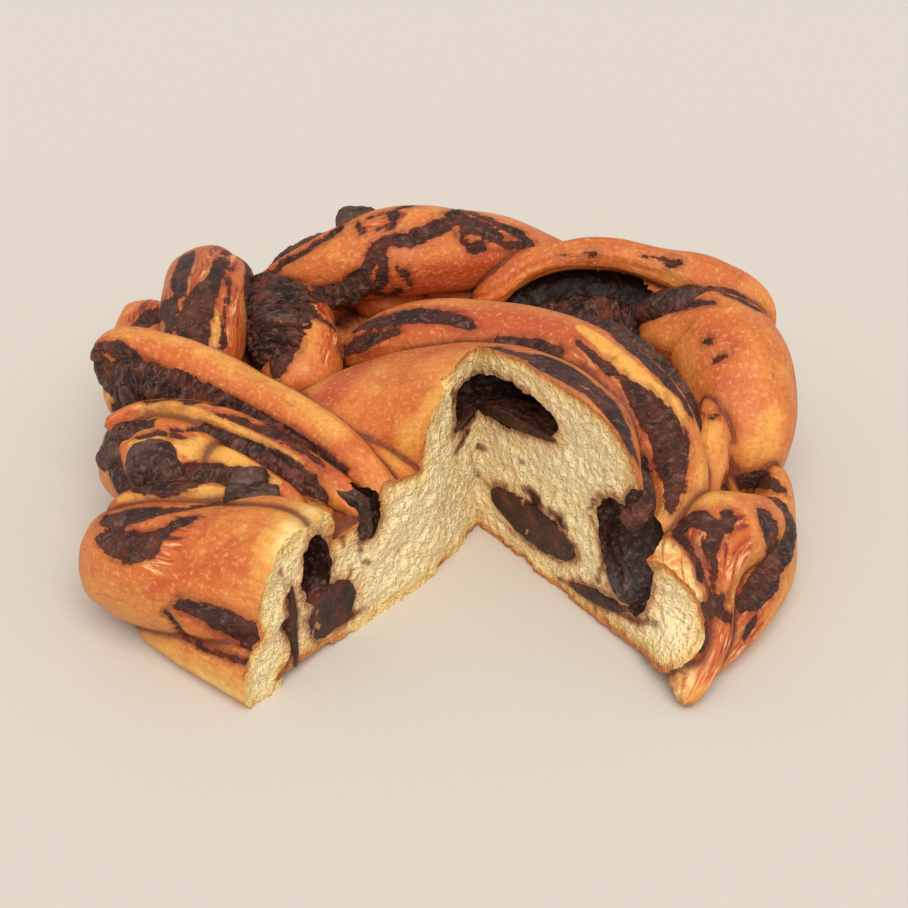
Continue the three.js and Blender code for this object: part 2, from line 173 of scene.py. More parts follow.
POCKETS = {
    "crown_pocket": [
        [8.3, -24.5, 53.3, 25, 11, -11], [15.7, -19.1, 53.5, 25, 8.5, -11],
        [26.3, -11.5, 54.2, 22, 7, -11], [36, -4.5, 54.5, 13, 5, -11],
    ],
    "side_pocket": [
        [39, -70, 30, 8, 17, -22], [50, -62, 30, 10.5, 18.5, -22], [58, -56, 31, 9, 16, -22],
        [64, -51, 31, 4, 8, -22],
    ],
    "side_hollow": [
        [46, -74, 46, 7, 9, 0], [55, -67, 46, 8, 10.5, 0], [60, -63.5, 45, 7, 9, 0],
        [64, -60.5, 45, 3, 5, 0],
    ],
    "left_pocket": [
        [-24, -78, 31, 6, 12, 0], [-36, -69, 31, 6, 12, 0], [-48, -60, 30, 4, 9, 0],
    ],
    "back_pocket": [
        [15, 62, 43, 5, 5, 0], [28, 63, 44, 11, 8, 0], [45, 64, 46, 13, 8, 0],
        [62, 62, 45, 12, 8, 0], [76, 56, 43, 10, 7, 0], [86, 50, 41, 6, 5, 0],
    ],
    "groove_pocket": [
        [-12, -59, 39, 4, 9, 0], [-22, -51, 39, 4, 9, 0], [-32, -44, 38, 3, 6, 0],
    ],
}

FILLINGS = {
    "filling_lens": [
        [12, -38, 17, 21, 7, 0], [27, -27, 17, 21, 7, 0], [45, -14, 17, 19, 7, 0],
        [62, 0, 18, 15, 6, 0], [76, 12, 18, 9, 5, 0],
    ],
    "filling_crown": [
        [9, -29, 48.4, 21, 1.8, -11], [18, -22.3, 49.2, 21, 1.8, -11],
        [28.6, -14.7, 49.7, 19, 1.8, -11], [38.3, -7.7, 50.2, 12, 1.5, -11],
    ],
    "filling_side": [
        [56.5, -43, 46, 4, 5, 0], [57, -50, 45.5, 5, 6.5, 0], [56.5, -56, 42, 5, 6, 0],
        [56.5, -60, 38, 3.5, 4.5, 0],
    ],
    "filling_low": [
        [33, -62, 9, 14, 2, -13], [46, -53, 9, 14, 2, -13], [62, -41, 10, 13, 2, -13],
        [76, -31, 10, 8, 2, -13],
    ],
    "filling_left_wall": [
        [-21, -74, 14, 10, 9, 0], [-33, -65, 14, 10, 9, 0], [-50, -53, 14, 9, 8, 0],
        [-66, -41, 15, 6, 5, 0],
    ],
    "filling_left_edge": [
        [-34, -86, 18, 1.4, 15, 0], [-43, -78, 18, 1.4, 15, 0], [-55, -70, 18, 1.4, 13, 0],
        [-67, -61, 18, 1.4, 8, 0],
    ],
    "filling_left_top": [
        [-109, 19, 46, 6, 8, 0], [-100, 10, 47.5, 7, 9, 0], [-86, 1, 49, 7, 8, 0],
        [-70, -8, 48.5, 6, 7, 0], [-54, -19, 46.5, 5.5, 6.5, 0], [-40, -30, 43.5, 5.5, 6.5, 0],
        [-29, -40, 40, 5, 6, 0], [-21, -47, 36, 4, 6, 0],
    ],
    "filling_left_middle": [
        [-101, -18, 42, 7, 7, 0], [-89, -20, 45, 6, 5, 0], [-72, -21, 46, 6, 5, 0],
        [-56, -27, 44, 6, 6, 0], [-44, -36, 42, 6, 6, 0], [-33, -46, 40, 6, 6, 0],
    ],
    "filling_left_low": [
        [-100, -26, 34, 8, 8, 0], [-85, -29, 36, 10, 8, 0], [-69, -35, 38, 9, 7, 0],
        [-55, -42, 40, 9, 7, 0], [-45, -46, 40, 6, 5, 0],
    ],
    "filling_left_back": [
        [-62, 71, 45, 8, 8, 0], [-54, 50, 48, 12, 9.5, 0], [-51, 33, 47.5, 12, 9.5, 0],
        [-52, 19, 44, 9, 8, 0],
    ],
    "filling_back_left": [
        [-60, 69, 47, 5, 5, 0], [-52, 74, 52, 6, 5, 0], [-42, 78, 56, 6, 5, 0],
        [-32, 81, 59, 5, 5, 0],
    ],
    "filling_back_low": [
        [-49, 59, 46, 6, 5, 0], [-40, 58, 50, 7, 5, 0], [-29, 59, 54, 7, 5, 0],
        [-23, 62, 60, 5, 5, 0], [-19, 63, 66, 4, 4, 0],
    ],
    "filling_back_hollow": [
        [26, 56, 38, 6, 5, 0], [36, 54, 41, 9, 7, 0], [50, 53, 42, 9, 8, 0], [62, 52, 41, 8, 7, 0],
        [70, 52, 39, 5, 5, 0],
    ],
    "filling_inner_arc": [
        [42, 19, 62, 4, 4, 0], [53, 13, 60, 5, 5, 20], [64, 5, 54, 6, 6, 30],
        [72, -4, 46, 6, 6, 40], [74, -13, 37, 6, 6, 45], [71, -24, 28, 5, 5, 45],
    ],
    "filling_right_top": [
        [63, 48, 48, 5, 5, 0], [74, 46, 53, 6, 5, 0], [86, 46, 54, 6, 5, 0],
        [97, 46, 52, 5, 5, 0], [105, 47, 46, 5, 5, 0],
    ],
    "filling_right_end": [[79, -64, 24, 5, 5, 0], [79, -69, 17, 7, 6, 0], [79, -74, 8, 5, 5, 0]],
    "filling_right_foot": [[100, -28, 27, 5, 5, 0], [99, -42, 22, 7, 6, 0], [96, -51, 14, 6, 6, 0]],
}

CHUNKS = {
    "chunk_back": [
        [-36, 74, 67.5, 6, 6, 0], [-21, 74, 69, 6, 6, 0],
    ],
    "chunk_left_end": [
        [-109, 17, 47, 5, 6, 0], [-101, 14, 47, 6, 6, 0],
    ],
    "chunk_left_hole": [
        [-101, 4, 45, 5, 5.5, 0], [-92, 3, 46, 5, 5.5, 0],
    ],
    "chunk_left_far": [
        [-101, -17, 41, 6.5, 7.5, 0], [-96, -22, 36, 6.5, 7.5, 0],
    ],
    "chunk_left_large": [
        [-94, -33, 42, 8.5, 8.5, 0], [-76, -34, 44, 8.5, 8.5, 0],
    ],
    "stick_lower": [
        [-63, -51, 43.5, 4.5, 4, 0], [-47, -51, 43.5, 4.5, 4, 0],
    ],
    "stick_upper": [
        [-62, -45, 45, 4, 3.5, 0], [-51, -45, 46, 4, 3.5, 0],
    ],
    "stick_wall": [
        [-16, -60, 39, 2.5, 8, 0], [-33, -45, 39, 2.5, 7, 0],
    ],
}

# The back of the loaf repeats one roll that rises from the foot to the top, each
# leaning on the next: [reach from the middle, z, turn, half width, half depth].
SIDE_ROLLS = 5
SIDE_START = 42  # degrees from +X
SIDE_STEP = 31
SIDE_RISE = [
    [88, 10, -8, 13, 12], [90, 20, 10, 19, 17], [86, 34, 26, 19, 17], [74, 46, 40, 14, 12],
]

# What a face of the dough was made by
CORE, POCKET, CUT, FLOOR = 50, 60, 61, 62

# Strokes of the brush over the baked dough, each a row of (x, y) pixels of the
# picture with half the stroke's width in mm. They are laid on the solid itself. The highlight strokes
# are painted highlights, the folds carry painted shade in their grooves, and a few marked strokes of
# the other kinds are painted shade.
STROKES = {
    "dark": {
        "arc_outer_band": [
            (590, 322, 1), (602, 328, 1.8), (616, 336, 2.2), (630, 347, 2.8), (644, 358, 3.2),
            (658, 370, 3.2), (672, 384, 2.6), (684, 398, 2.2), (690, 412, 1.4),
        ],
        "arc_inner_band": [
            (578, 341, 0.8), (590, 352, 1.4), (604, 364, 1.6), (618, 376, 1), (632, 389, 2),
            (645, 403, 4), (660, 421, 5.2), (670, 441, 5.4), (673, 465, 4.6), (675, 488, 3.2),
            (671, 508, 1.6),
        ],
        "arc_under": [
            (484, 357, 2.4), (500, 354, 3.8), (520, 356, 4.4), (540, 359, 4.6), (560, 366, 4.6),
            (580, 377, 4), (600, 391, 3.6), (612, 405, 3.6), (622, 424, 3.2), (631, 444, 2.8),
            (640, 462, 2.2), (647, 480, 1.4),
        ],
        "arc_under_branch": [(500, 340, 1), (520, 343, 1.8), (540, 346, 2.2), (558, 352, 2)],
        "arc_stain": [
            (342, 334, 1.2), (362, 326, 1.8), (393, 318, 2.2), (424, 315, 2.2), (454, 318, 2),
            (472, 326, 1.4),
        ],
        "arc_stain_low": [(345, 350, 2), (360, 343, 2.4), (378, 337, 1.8), (400, 332, 0.8)],
        "back_ragged": [
            (370, 250, 1.2), (381, 241, 2.2), (395, 238, 1.8), (409, 240, 2.4), (420, 234, 2.6),
            (436, 228, 2.8), (450, 220, 2.2), (456, 211, 1.4),
        ],
        "back_patch": [(458, 217, 2.8), (470, 224, 3.8), (486, 229, 2.8), (500, 236, 1.6)],
        "back_ring": [(460, 234, 0.9), (466, 244, 1), (475, 250, 1.2), (483, 246, 1), (479, 240, 0.8)],
        "back_rim": [
            (444, 207, 1), (464, 210, 1.6), (485, 217, 1.7), (503, 226, 1.6), (522, 235, 1.6),
            (532, 243, 1.2),
        ],
        "back_rim_low": [(485, 236, 0.8), (505, 244, 1.2), (522, 246, 1)],
        "back_square": [
            (359, 224, 0.6), (362, 232, 0.8), (373, 230, 0.6), (392, 226, 0.8), (394, 212, 1),
            (383, 213, 0.6), (369, 218, 0.6),
        ],
        "back_crest": [(398, 208, 0.8), (412, 205, 1.1), (430, 203, 1.1), (446, 206, 0.9)],
        "back_fork": [(379, 250, 2), (371, 258, 2.2), (366, 270, 2), (350, 281, 1.8)],
        "back_fork_low": [(381, 250, 1.2), (383, 264, 1.6), (381, 281, 1.6), (375, 289, 1.8)],
        "back_strip": [(301, 299, 2.6), (322, 295, 3), (342, 289, 3), (364, 282, 2.4)],
        "back_maroon": [(373, 293, 1.4), (391, 297, 1.8), (400, 290, 1)],
        "back_blotch": [(397, 266, 0.8), (405, 275, 1.2), (411, 285, 0.8)],
        "back_groove": [(254, 285, 2.4), (281, 262, 1.9), (307, 248, 1.7), (338, 229, 1.6)],
        "left_roll_far": [(188, 254, 2.6), (182, 267, 3.6), (179, 281, 3), (180, 293, 1.4)],
        "left_roll_wide": [
            (228, 249, 1.6), (220, 262, 1.6), (214, 276, 2.2), (207, 290, 3.8), (198, 305, 5.4),
            (192, 322, 5.6), (193, 338, 5),
        ],
        "left_roll_side": [(172, 300, 2), (170, 313, 3.6), (168, 326, 3)],
        "left_roll_edge": [
            (243, 250, 1.8), (248, 262, 2.2), (250, 275, 2), (247, 290, 1.8), (249, 320, 1.6),
            (251, 350, 1.6),
        ],
        "left_roll_line": [(231, 262, 0.6), (228, 290, 0.6), (224, 320, 0.7), (222, 345, 0.7)],
        "far_roll_stain": [(140, 324, 2.4), (152, 317, 3.2), (164, 310, 3.2), (172, 300, 2)],
        "top_layer_end": [(90, 347, 1.5), (95, 358, 3.2), (105, 369, 3.4), (114, 378, 2.8)],
        "top_layer_curl": [(100, 345, 1.2), (116, 350, 2.8), (130, 359, 3), (142, 369, 2.6)],
        "top_layer_under": [
            (150, 365, 0.9), (175, 376, 1), (205, 388, 1.1), (240, 403, 1.1), (275, 422, 1.1),
            (310, 444, 1.2), (345, 470, 1.2),
        ],
        "second_top": [
            (114, 408, 1.4), (139, 400, 1.6), (175, 398, 1.4), (208, 402, 1.5), (235, 409, 1.3),
            (262, 420, 1.2), (295, 441, 1.2), (325, 465, 1),
        ],
        "second_under": [
            (172, 428, 0.9), (204, 428, 1.1), (222, 434, 1.3), (247, 445, 1.6), (272, 455, 1.8),
            (290, 467, 2.2), (310, 484, 3), (322, 497, 2.2),
        ],
        "inner_low": [(185, 470, 2), (215, 472, 2.4), (250, 470, 1)],
        "inner_end": [(276, 463, 1.6), (290, 476, 2.4), (304, 490, 2.4)],
        "third_under": [
            (104, 520, 2), (118, 519, 3.4), (136, 515, 3.2), (155, 511, 2.4), (175, 509, 2),
            (198, 506, 1.6), (222, 503, 0.7),
        ],
        "front_patch": [
            (100, 536, 2), (112, 541, 4), (130, 547, 4.6), (148, 545, 4.2), (158, 534, 2.6),
        ],
        "front_blot": [(164, 529, 2), (178, 523, 1.8), (192, 520, 0.9)],
        "front_slit": [
            (175, 605, 0.9), (188, 609, 2.2), (206, 616, 3.8), (226, 624, 4.8), (246, 631, 4.8),
            (262, 638, 4), (275, 645, 2.4),
        ],
        "front_wrinkle": [
            (166, 614, 0.4), (180, 634, 0.6), (201, 648, 0.7), (229, 659, 0.8), (258, 663, 0.8),
            (280, 667, 0.8),
        ],
        "arc_streak": [(644, 256, 0.5), (660, 258, 0.6), (671, 262, 1.3), (678, 263, 1.1)],
        "right_top_band": [
            (619, 327, 2.6), (635, 317, 3.6), (653, 310, 3), (676, 306, 2.2), (699, 303, 1.6),
            (714, 302, 0.8),
        ],
        "right_top_end": [(721, 292, 0.9), (735, 297, 2), (749, 304, 2), (760, 310, 1.2)],
        "right_marks": [(704, 341, 0.4), (708, 340, 0.7), (711, 343, 0.4)],
        "right_swirl": [(714, 361, 0.8), (720, 359, 1.3), (727, 355, 0.6)],
        "right_under": [
            (726, 488, 1.4), (740, 482, 2.6), (757, 479, 2.8), (771, 482, 2.4), (780, 488, 1.6),
        ],
        "band_lines": [(702, 414, 0.4), (712, 417, 0.5), (722, 414, 0.4)],
        "flap_marble": [
            (676, 532, 1.2), (684, 524, 2.2), (696, 518, 2.8), (708, 522, 3), (716, 534, 2.4),
            (712, 548, 1.6),
        ],
        "flap_hole": [(726, 514, 1.8), (730, 521, 2.2), (727, 528, 1.4)],
        "flap_line": [(702, 538, 0.8), (710, 552, 1.1), (716, 570, 1.1), (712, 592, 1)],
        "flap_rim": [(676, 534, 1.1), (690, 548, 0.9), (699, 562, 0.8), (700, 580, 0.7)],
        "flap_side": [(764, 514, 2.6), (772, 530, 3.6), (774, 552, 3.2)],
        "flap_low": [(779, 560, 3.6), (768, 578, 4.6), (752, 597, 3.4), (740, 606, 1.6)],
        "foot_band": [(722, 600, 1.8), (710, 610, 3.4), (704, 624, 4.2), (705, 640, 3.4)],
        "foot_spots": [(724, 614, 1.6), (729, 618, 1.8)],
        "foot_marble_low": [(744, 640, 0.8), (750, 628, 1.4), (756, 620, 1)],
        "hollow_end": [(628, 300, 3), (645, 300, 4), (660, 302, 3)],
        "arc_drop": [(622, 432, 1), (627, 440, 1.8), (630, 449, 1.2)],
        "lump_bed": [(102, 432, 2.6), (108, 450, 4), (116, 470, 4.4), (120, 488, 2.6)],
        "lump_top": [(135, 438, 0.9), (160, 433, 1.1), (184, 437, 0.9)],
        "lump_low": [
            (134, 486, 2.4), (165, 486, 3), (200, 480, 3.4), (232, 478, 3), (262, 480, 2.2),
        ],
        "arc_dot": [(562, 254, 0.7), (567, 256, 0.6)],
        "arc_dot_right": [(586, 255, 0.6), (594, 254, 0.8)],
        "left_back_low": [(292, 310, 3), (291, 330, 4), (284, 350, 4), (277, 368, 3)],
        # Painted shade in a crease, laid as a dark stroke, not chocolate.
        "front_crease_shade": [(318, 316, 1), (333, 326, 2), (346, 322, 1.4), (356, 313, 0.8)],
        "second_line": [(210, 410, 0.5), (240, 421, 0.7), (270, 433, 0.6), (300, 450, 0.7)],
        # Painted shade along the gap between the dome and the arc, not chocolate.
        "dome_edge_shade": [
            (486, 357, 1), (500, 360, 1.4), (520, 363, 1.8), (540, 367, 2), (556, 374, 2),
            (572, 383, 1.8), (588, 393, 1.4), (602, 404, 1),
        ],
    },
    "red": {
        "arc_ridge": [
            (572, 352, 1.4), (590, 364, 1.6), (605, 376, 1.7), (619, 391, 1.8), (627, 405, 1.8),
            (636, 420, 1.8), (645, 434, 1.8), (653, 450, 1.6), (659, 472, 1.4), (658, 500, 1.2),
        ],
        "arc_top": [(440, 314, 3), (470, 317, 4.6), (500, 320, 5.6), (535, 326, 5.6), (565, 334, 5.4)],
        "arc_left": [(345, 330, 4), (380, 326, 4.4), (430, 325, 4.4), (470, 330, 3.6)],
        # Partly red-brown crust, partly painted shade on the lower side of the bulge.
        "back_bulge": [(385, 290, 4), (405, 286, 6), (440, 278, 7), (480, 268, 6.4), (510, 256, 4)],
        "back_low": [(315, 311, 3.6), (338, 305, 4.6), (362, 297, 3.6)],
        "back_front": [(300, 300, 2), (330, 312, 3), (350, 318, 2.4)],
        "left_streak": [(223, 281, 1), (227, 306, 1.3), (229, 331, 1.3), (232, 348, 1)],
        "left_streak_right": [(229, 272, 0.8), (235, 301, 1), (239, 325, 1), (237, 348, 0.9)],
        "far_roll": [(130, 318, 1.6), (150, 303, 2.4), (166, 299, 2.2)],
        "top_layer_edge": [
            (102, 343, 1), (131, 350, 1.6), (151, 361, 1.8), (175, 372, 2), (205, 384, 2),
            (240, 400, 2), (274, 419, 1.9), (310, 440, 1.8), (345, 468, 1.8),
        ],
        "second_red": [
            (200, 408, 1.6), (240, 418, 2.4), (280, 437, 2.6), (320, 462, 2.4), (345, 485, 2),
        ],
        "second_left": [(104, 428, 1.6), (118, 420, 2.2), (132, 416, 1.6)],
        "inner_red": [(255, 462, 1.2), (280, 482, 1.6), (310, 502, 1.4)],
        "third_red": [(105, 506, 2.8), (130, 500, 3.4), (160, 496, 2.6)],
        "front_red": [(150, 590, 2), (172, 580, 2.2), (196, 570, 1.4)],
        "front_lip": [(186, 622, 1.6), (210, 636, 2), (240, 650, 2.2), (270, 656, 2)],
        "crown_left": [(330, 395, 5), (350, 372, 6), (380, 352, 4)],
        "crown_spot": [(432, 352, 1.4), (440, 350, 1.2)],
        "flap_red": [(680, 530, 3), (700, 545, 5), (715, 560, 4.6), (708, 580, 3.6)],
        "foot_red": [(732, 632, 3), (746, 614, 4), (765, 596, 3)],
        "hollow_rim": [
            (556, 263, 1), (585, 261, 1.2), (612, 266, 1.2), (636, 277, 1.2), (652, 288, 1),
        ],
        "right_brown": [(690, 330, 1), (715, 330, 2), (740, 345, 2)],
        "back_under": [(312, 312, 2.4), (338, 309, 3.4), (364, 300, 3), (384, 296, 2)],
        "top_film": [
            (112, 352, 2), (130, 360, 2.6), (150, 368, 2.4), (175, 377, 2), (205, 390, 1.6),
        ],
        "front_streak": [(196, 512, 1), (186, 528, 2.4), (180, 545, 2.6), (186, 560, 1.8)],
        "front_streak_right": [(222, 507, 0.8), (208, 520, 1.6), (200, 534, 1.4)],
    },
    "pale": {
        "arc_stripe": [
            (582, 328, 1.6), (597, 339, 2.6), (614, 354, 3), (630, 368, 2.9), (645, 379, 2.6),
            (658, 389, 2.4), (670, 399, 2.4), (680, 411, 2), (684, 422, 0.9),
        ],
        "arc_end": [(663, 481, 0.9), (666, 495, 1), (664, 507, 0.8)],
        "second_centre": [
            (122, 418, 1.2), (140, 412, 2.2), (165, 410, 2.8), (190, 414, 2.6), (212, 422, 2.2),
            (240, 432, 1.8), (270, 446, 1.4), (300, 462, 1.2),
        ],
        "inner_piece": [
            (180, 444, 2.4), (205, 452, 4.6), (230, 459, 4.2), (252, 468, 2.4), (276, 482, 1.4),
        ],
        "third_piece": [
            (120, 499, 1.4), (140, 495, 2), (165, 493, 2.4), (190, 492, 2.6), (218, 494, 2.2),
        ],
        "third_dots": [(152, 537, 0.8), (157, 534, 1.1)],
        "low_piece": [(132, 443, 1.6), (146, 438, 2.2), (162, 438, 1.6)],
        "far_left": [(115, 395, 1.8), (108, 402, 2.2), (104, 410, 1.6)],
        "left_stripe": [(208, 300, 0.8), (215, 312, 1.6), (216, 330, 2), (216, 345, 2)],
        "left_right": [(246, 252, 1), (262, 256, 1.6), (285, 250, 1.2)],
        "island_left": [(120, 516, 0.8), (126, 513, 1), (133, 510, 0.8)],
        "island_right": [(188, 521, 1.2), (197, 516, 0.9)],
        "island_mid": [(146, 511, 0.6), (152, 508, 0.9)],
    },
    # Painted highlights: lighter, yellower crust along crests, lit edges and the foot of a cut wall.
    "painted_highlight": {
        "right_highlight": [(775, 418, 1.6), (764, 446, 2.4)],
        "band_highlight": [(712, 430, 2), (708, 460, 2.6), (702, 485, 2.4)],
        "foot_highlight": [(160, 648, 3), (180, 662, 4), (215, 685, 5), (245, 700, 5)],
        "front_edge": [
            (322, 506, 4.4), (306, 514, 7), (292, 532, 8), (282, 556, 7), (276, 585, 4.6),
            (272, 612, 3),
        ],
        "crown_edge": [(478, 356, 1), (440, 395, 2.4), (412, 430, 3), (396, 460, 3)],
        "right_tip": [(676, 690, 3), (690, 676, 4), (704, 660, 3.4), (700, 640, 1.6)],
        "flap_top": [(664, 520, 2), (680, 507, 3), (700, 500, 3), (718, 494, 2.4)],
        "wall_foot": [(260, 702, 2), (310, 664, 2), (367, 622, 2), (440, 567, 2), (478, 529, 2)],
        "top_crest": [
            (120, 331, 0.4), (180, 341, 0.8), (225, 357, 1.2), (262, 375, 1.8), (290, 392, 2.4),
            (318, 412, 2.8), (336, 430, 2.4),
        ],
    },
    "marble": {
        "flap_face": [(684, 524, 3), (700, 530, 5), (714, 552, 6), (708, 580, 5), (700, 596, 3)],
        "flap_bright": [(735, 520, 4), (742, 545, 5), (730, 572, 4)],
        "foot_face": [(740, 592, 5), (752, 610, 6), (742, 632, 7), (722, 650, 6), (702, 666, 5)],
        "foot_side": [(772, 586, 3), (764, 606, 3)],
        "left_roll_lines": [
            (230, 250, 3), (230, 270, 3.6), (230, 300, 4.2), (234, 330, 4.6), (236, 352, 4.4),
        ],
        "left_roll_top": [(196, 256, 2.2), (212, 250, 2.6), (226, 246, 2)],
        "far_roll_face": [(134, 318, 3), (150, 308, 4), (166, 300, 3)],
        "back_top": [(464, 212, 2.6), (490, 222, 3.6), (514, 236, 3.4), (530, 246, 2)],
        "back_left": [(372, 226, 2.4), (384, 222, 3), (398, 216, 2)],
        "arc_start": [(326, 360, 2), (330, 344, 4), (342, 328, 4.4), (358, 316, 3), (374, 309, 2)],
        "back_under": [(300, 306, 3), (330, 310, 4), (352, 300, 3)],
        "second_end": [(100, 428, 2), (114, 420, 2.4), (132, 414, 2)],
        "top_under": [(150, 362, 1.2), (190, 380, 1.6), (232, 398, 1.4)],
        "front_speckle": [(150, 566, 3), (168, 556, 3.4), (176, 536, 3.2), (196, 518, 2.4)],
        "arc_mid": [(560, 344, 1.6), (590, 366, 2), (616, 396, 2), (634, 430, 1.6)],
        "foot_tip": [(692, 668, 4), (684, 684, 4)],
        "left_gap": [(214, 250, 1.8), (206, 262, 3), (198, 276, 3.4), (192, 292, 2.6)],
    },
    # Folds sink the skin, and the crust darkens chestnut in their grooves as painted shade.
    "fold": {
        "front_fold": [
            (190, 592, -0.4), (197, 575, -0.2), (210, 556, -0.1), (232, 540, -0.1),
            (262, 524, -0.4), (290, 516, -0.7),
        ],
        "front_lobe": [(182, 594, -0.2), (170, 602, 0.1), (163, 614, 0.2), (152, 626, -0.1)],
        "front_slit": [(180, 612, 0.6), (205, 628, 1), (235, 641, 1), (262, 648, 0.8)],
        "front_wrinkle": [
            (166, 616, 0.8), (183, 636, 1), (201, 647, 1.2), (229, 658, 1.3), (258, 663, 1.3),
            (278, 666, 1),
        ],
        "front_rim": [(104, 531, 0.8), (122, 535, 1), (145, 531, 1), (168, 522, 0.8)],
        "back_groove": [(254, 285, 1.6), (281, 262, 1.4), (307, 248, 1.2), (338, 229, 1)],
        "back_ragged": [(381, 241, 1.4), (409, 240, 1.6), (436, 229, 1.6), (456, 213, 0.9)],
        "back_fork": [(379, 250, 1.4), (371, 258, 1.4), (366, 270, 1.4), (350, 281, 1.4)],
        "back_crack": [(457, 215, 0.8), (452, 224, 1), (460, 236, 1), (470, 246, 0.9)],
        "left_roll": [(222, 262, 0.8), (216, 285, 1), (212, 310, 0.9), (208, 335, 0.8)],
        "band_edge": [(724, 412, 0.8), (733, 435, 0.9), (730, 470, 0.9), (722, 492, 0.7)],
        "second_slit": [
            (172, 428, 0.7), (204, 428, 0.9), (222, 434, 0.9), (260, 450, 0.9), (300, 476, 0.8),
        ],
        "arc_slit": [(598, 402, 0.7), (608, 412, 0.9), (618, 426, 0.8)],
        "flap_rim": [(680, 530, 0.9), (698, 548, 0.9), (706, 566, 0.8)],
        "foot_crack": [(734, 588, 0.9), (728, 604, 1.1), (716, 622, 1.1), (704, 640, 0.9)],
        "right_ring": [(686, 354, -0.4), (697, 343, -0.2), (712, 337, -0.2), (730, 340, -0.3)],
        "right_ring_wide": [
            (680, 340, -0.5), (698, 328, -0.3), (720, 322, -0.3), (745, 327, -0.5),
        ],
        "right_ring_low": [(712, 362, -0.1), (722, 354, 0), (731, 353, -0.2), (735, 358, -0.3)],
        "front_fold_low": [(205, 566, -0.4), (228, 549, -0.2), (256, 536, -0.5)],
    },
    "torn": {
        "flap_left": [
            (664, 545, 3), (672, 560, 4.5), (684, 575, 5), (692, 592, 4), (697, 606, 2.4),
        ],
        "foot_left": [(650, 656, 2), (664, 664, 4.6), (676, 676, 5.4), (680, 692, 3.6)],
        "curl_tip": [(108, 368, 0.8), (118, 374, 1.2), (124, 380, 0.8)],
        "top_film": [(128, 358, 0.4), (145, 366, 0.8), (165, 374, 0.6)],
    },
    "smear": {
        "lens_stain": [(522, 488, 1.2), (530, 492, 2.2), (537, 500, 2.4), (534, 510, 1.6)],
        "lens_line": [(496, 516, 0.5), (512, 532, 0.6), (534, 548, 0.6), (560, 562, 0.5)],
        "lens_hole": [(552, 512, 1.4), (559, 519, 2), (563, 528, 1.4)],
        "apex_brown": [(452, 392, 1.4), (462, 404, 2.6), (464, 420, 2.8), (474, 414, 2)],
        "apex_hole": [(478, 446, 1.2), (484, 448, 1.4)],
        "side_rim": [(594, 500, 0.8), (588, 512, 0.6), (606, 548, 0.8), (598, 580, 1)],
        "low_trail": [
            (558, 578, 0.6), (580, 589, 0.8), (604, 602, 0.9), (630, 620, 0.8), (658, 624, 0.6),
        ],
        "wall_flecks": [(360, 549, 0.7), (361, 550, 0.7)],
        "wall_fleck_low": [(364, 561, 0.9), (367, 563, 0.7)],
        "wall_fleck_left": [(351, 571, 0.6), (347, 580, 0.8), (352, 590, 0.7)],
        "wall_tail": [(347, 618, 1.2), (358, 612, 0.9), (368, 607, 0.5)],
        "outer_crack": [
            (280, 570, 0.5), (287, 595, 0.6), (292, 620, 0.6), (296, 640, 0.7), (290, 660, 1.2),
            (279, 678, 0.8),
        ],
        "groove_dark": [(344, 512, 0.8), (340, 528, 1), (344, 546, 0.7)],
        "crown_rim_left": [(458, 424, 1), (466, 432, 1.8), (462, 442, 1.4), (456, 452, 1)],
        # Painted shade: a thin brown film down the hollow at the apex of the cut.
        "apex_hollow_shade": [(469, 446, 0), (472, 460, 0.3), (478, 476, 0.2)],
        "wall_specks": [(520, 462, 0.4), (523, 463, 0.5)],
        "wall_specks_low": [(560, 548, 0.5), (566, 552, 0.7), (571, 560, 0.4)],
    },
}

FAR = 20.0  # a field's value far from what it measures
REACH = 9.0  # how far from a stroke its field is worked out, in mm
STROKE_STEP = 2.5  # pixels between the points of a stroke
SIDE_FIRST = 30  # the rolls of the back are numbered from here
CORE_STEPS = 120  # round the core
LINE_PARTS = 60  # that a strand's length is measured in
CUT_BOTTOM, CUT_TOP = -8, 82
CREASE_RINGS = 1
CREASE_PASSES = 3
CHOCOLATE_PROUD = 0.5  # of the cut walls, in mm
# How deep the folds of a layer are, where it isn't nearly smooth
RUFFLED = {
    "filling_left_back": 2.6, "filling_back_hollow": 1.8, "filling_left_top": 1.8, "filling_back_low": 1.6,
}
SMOOTH = 0.4
LUMP_FULL = 0.93  # of its stations' size
LUMP_GRAIN = 1.3  # length of one facet, in mm
LUMP_WORN, STICK_WORN = 0.78, 0.4  # how round the edges are, as a share of the smallest half

SUN_STRENGTH = 2.45
SUN_WIDTH = math.radians(50)
SUN_HEIGHT = math.radians(55)
SUN_TURN = math.radians(8)
FILL = 0.6

GOLD = "#d8813c"
ORANGE = "#c9672a"
HONEY = "#dd9542"
LIGHT = "#f2b983"
CHESTNUT = "#7c3018"
BROWN = "#a3551f"
RED_BROWN = "#b64624"
MAROON = "#541c10"
UMBER = "#1d0c08"
YELLOW = "#e8a94c"
HIGHLIGHT_STRAW = "#f6dc92"
CHOCOLATE = "#301610"
COCOA = "#612e20"
BLOOM_AND_SHEEN = "#836252"
SLATE = "#5c3f34"
CREAM = "#ffdf9a"
WHEAT = "#f9c87a"
IVORY = "#fff1c8"
TAN = "#dd9a54"
AMBER = "#a8561f"
BUTTER = "#f6c868"
PAPER = "#cdc6bf"


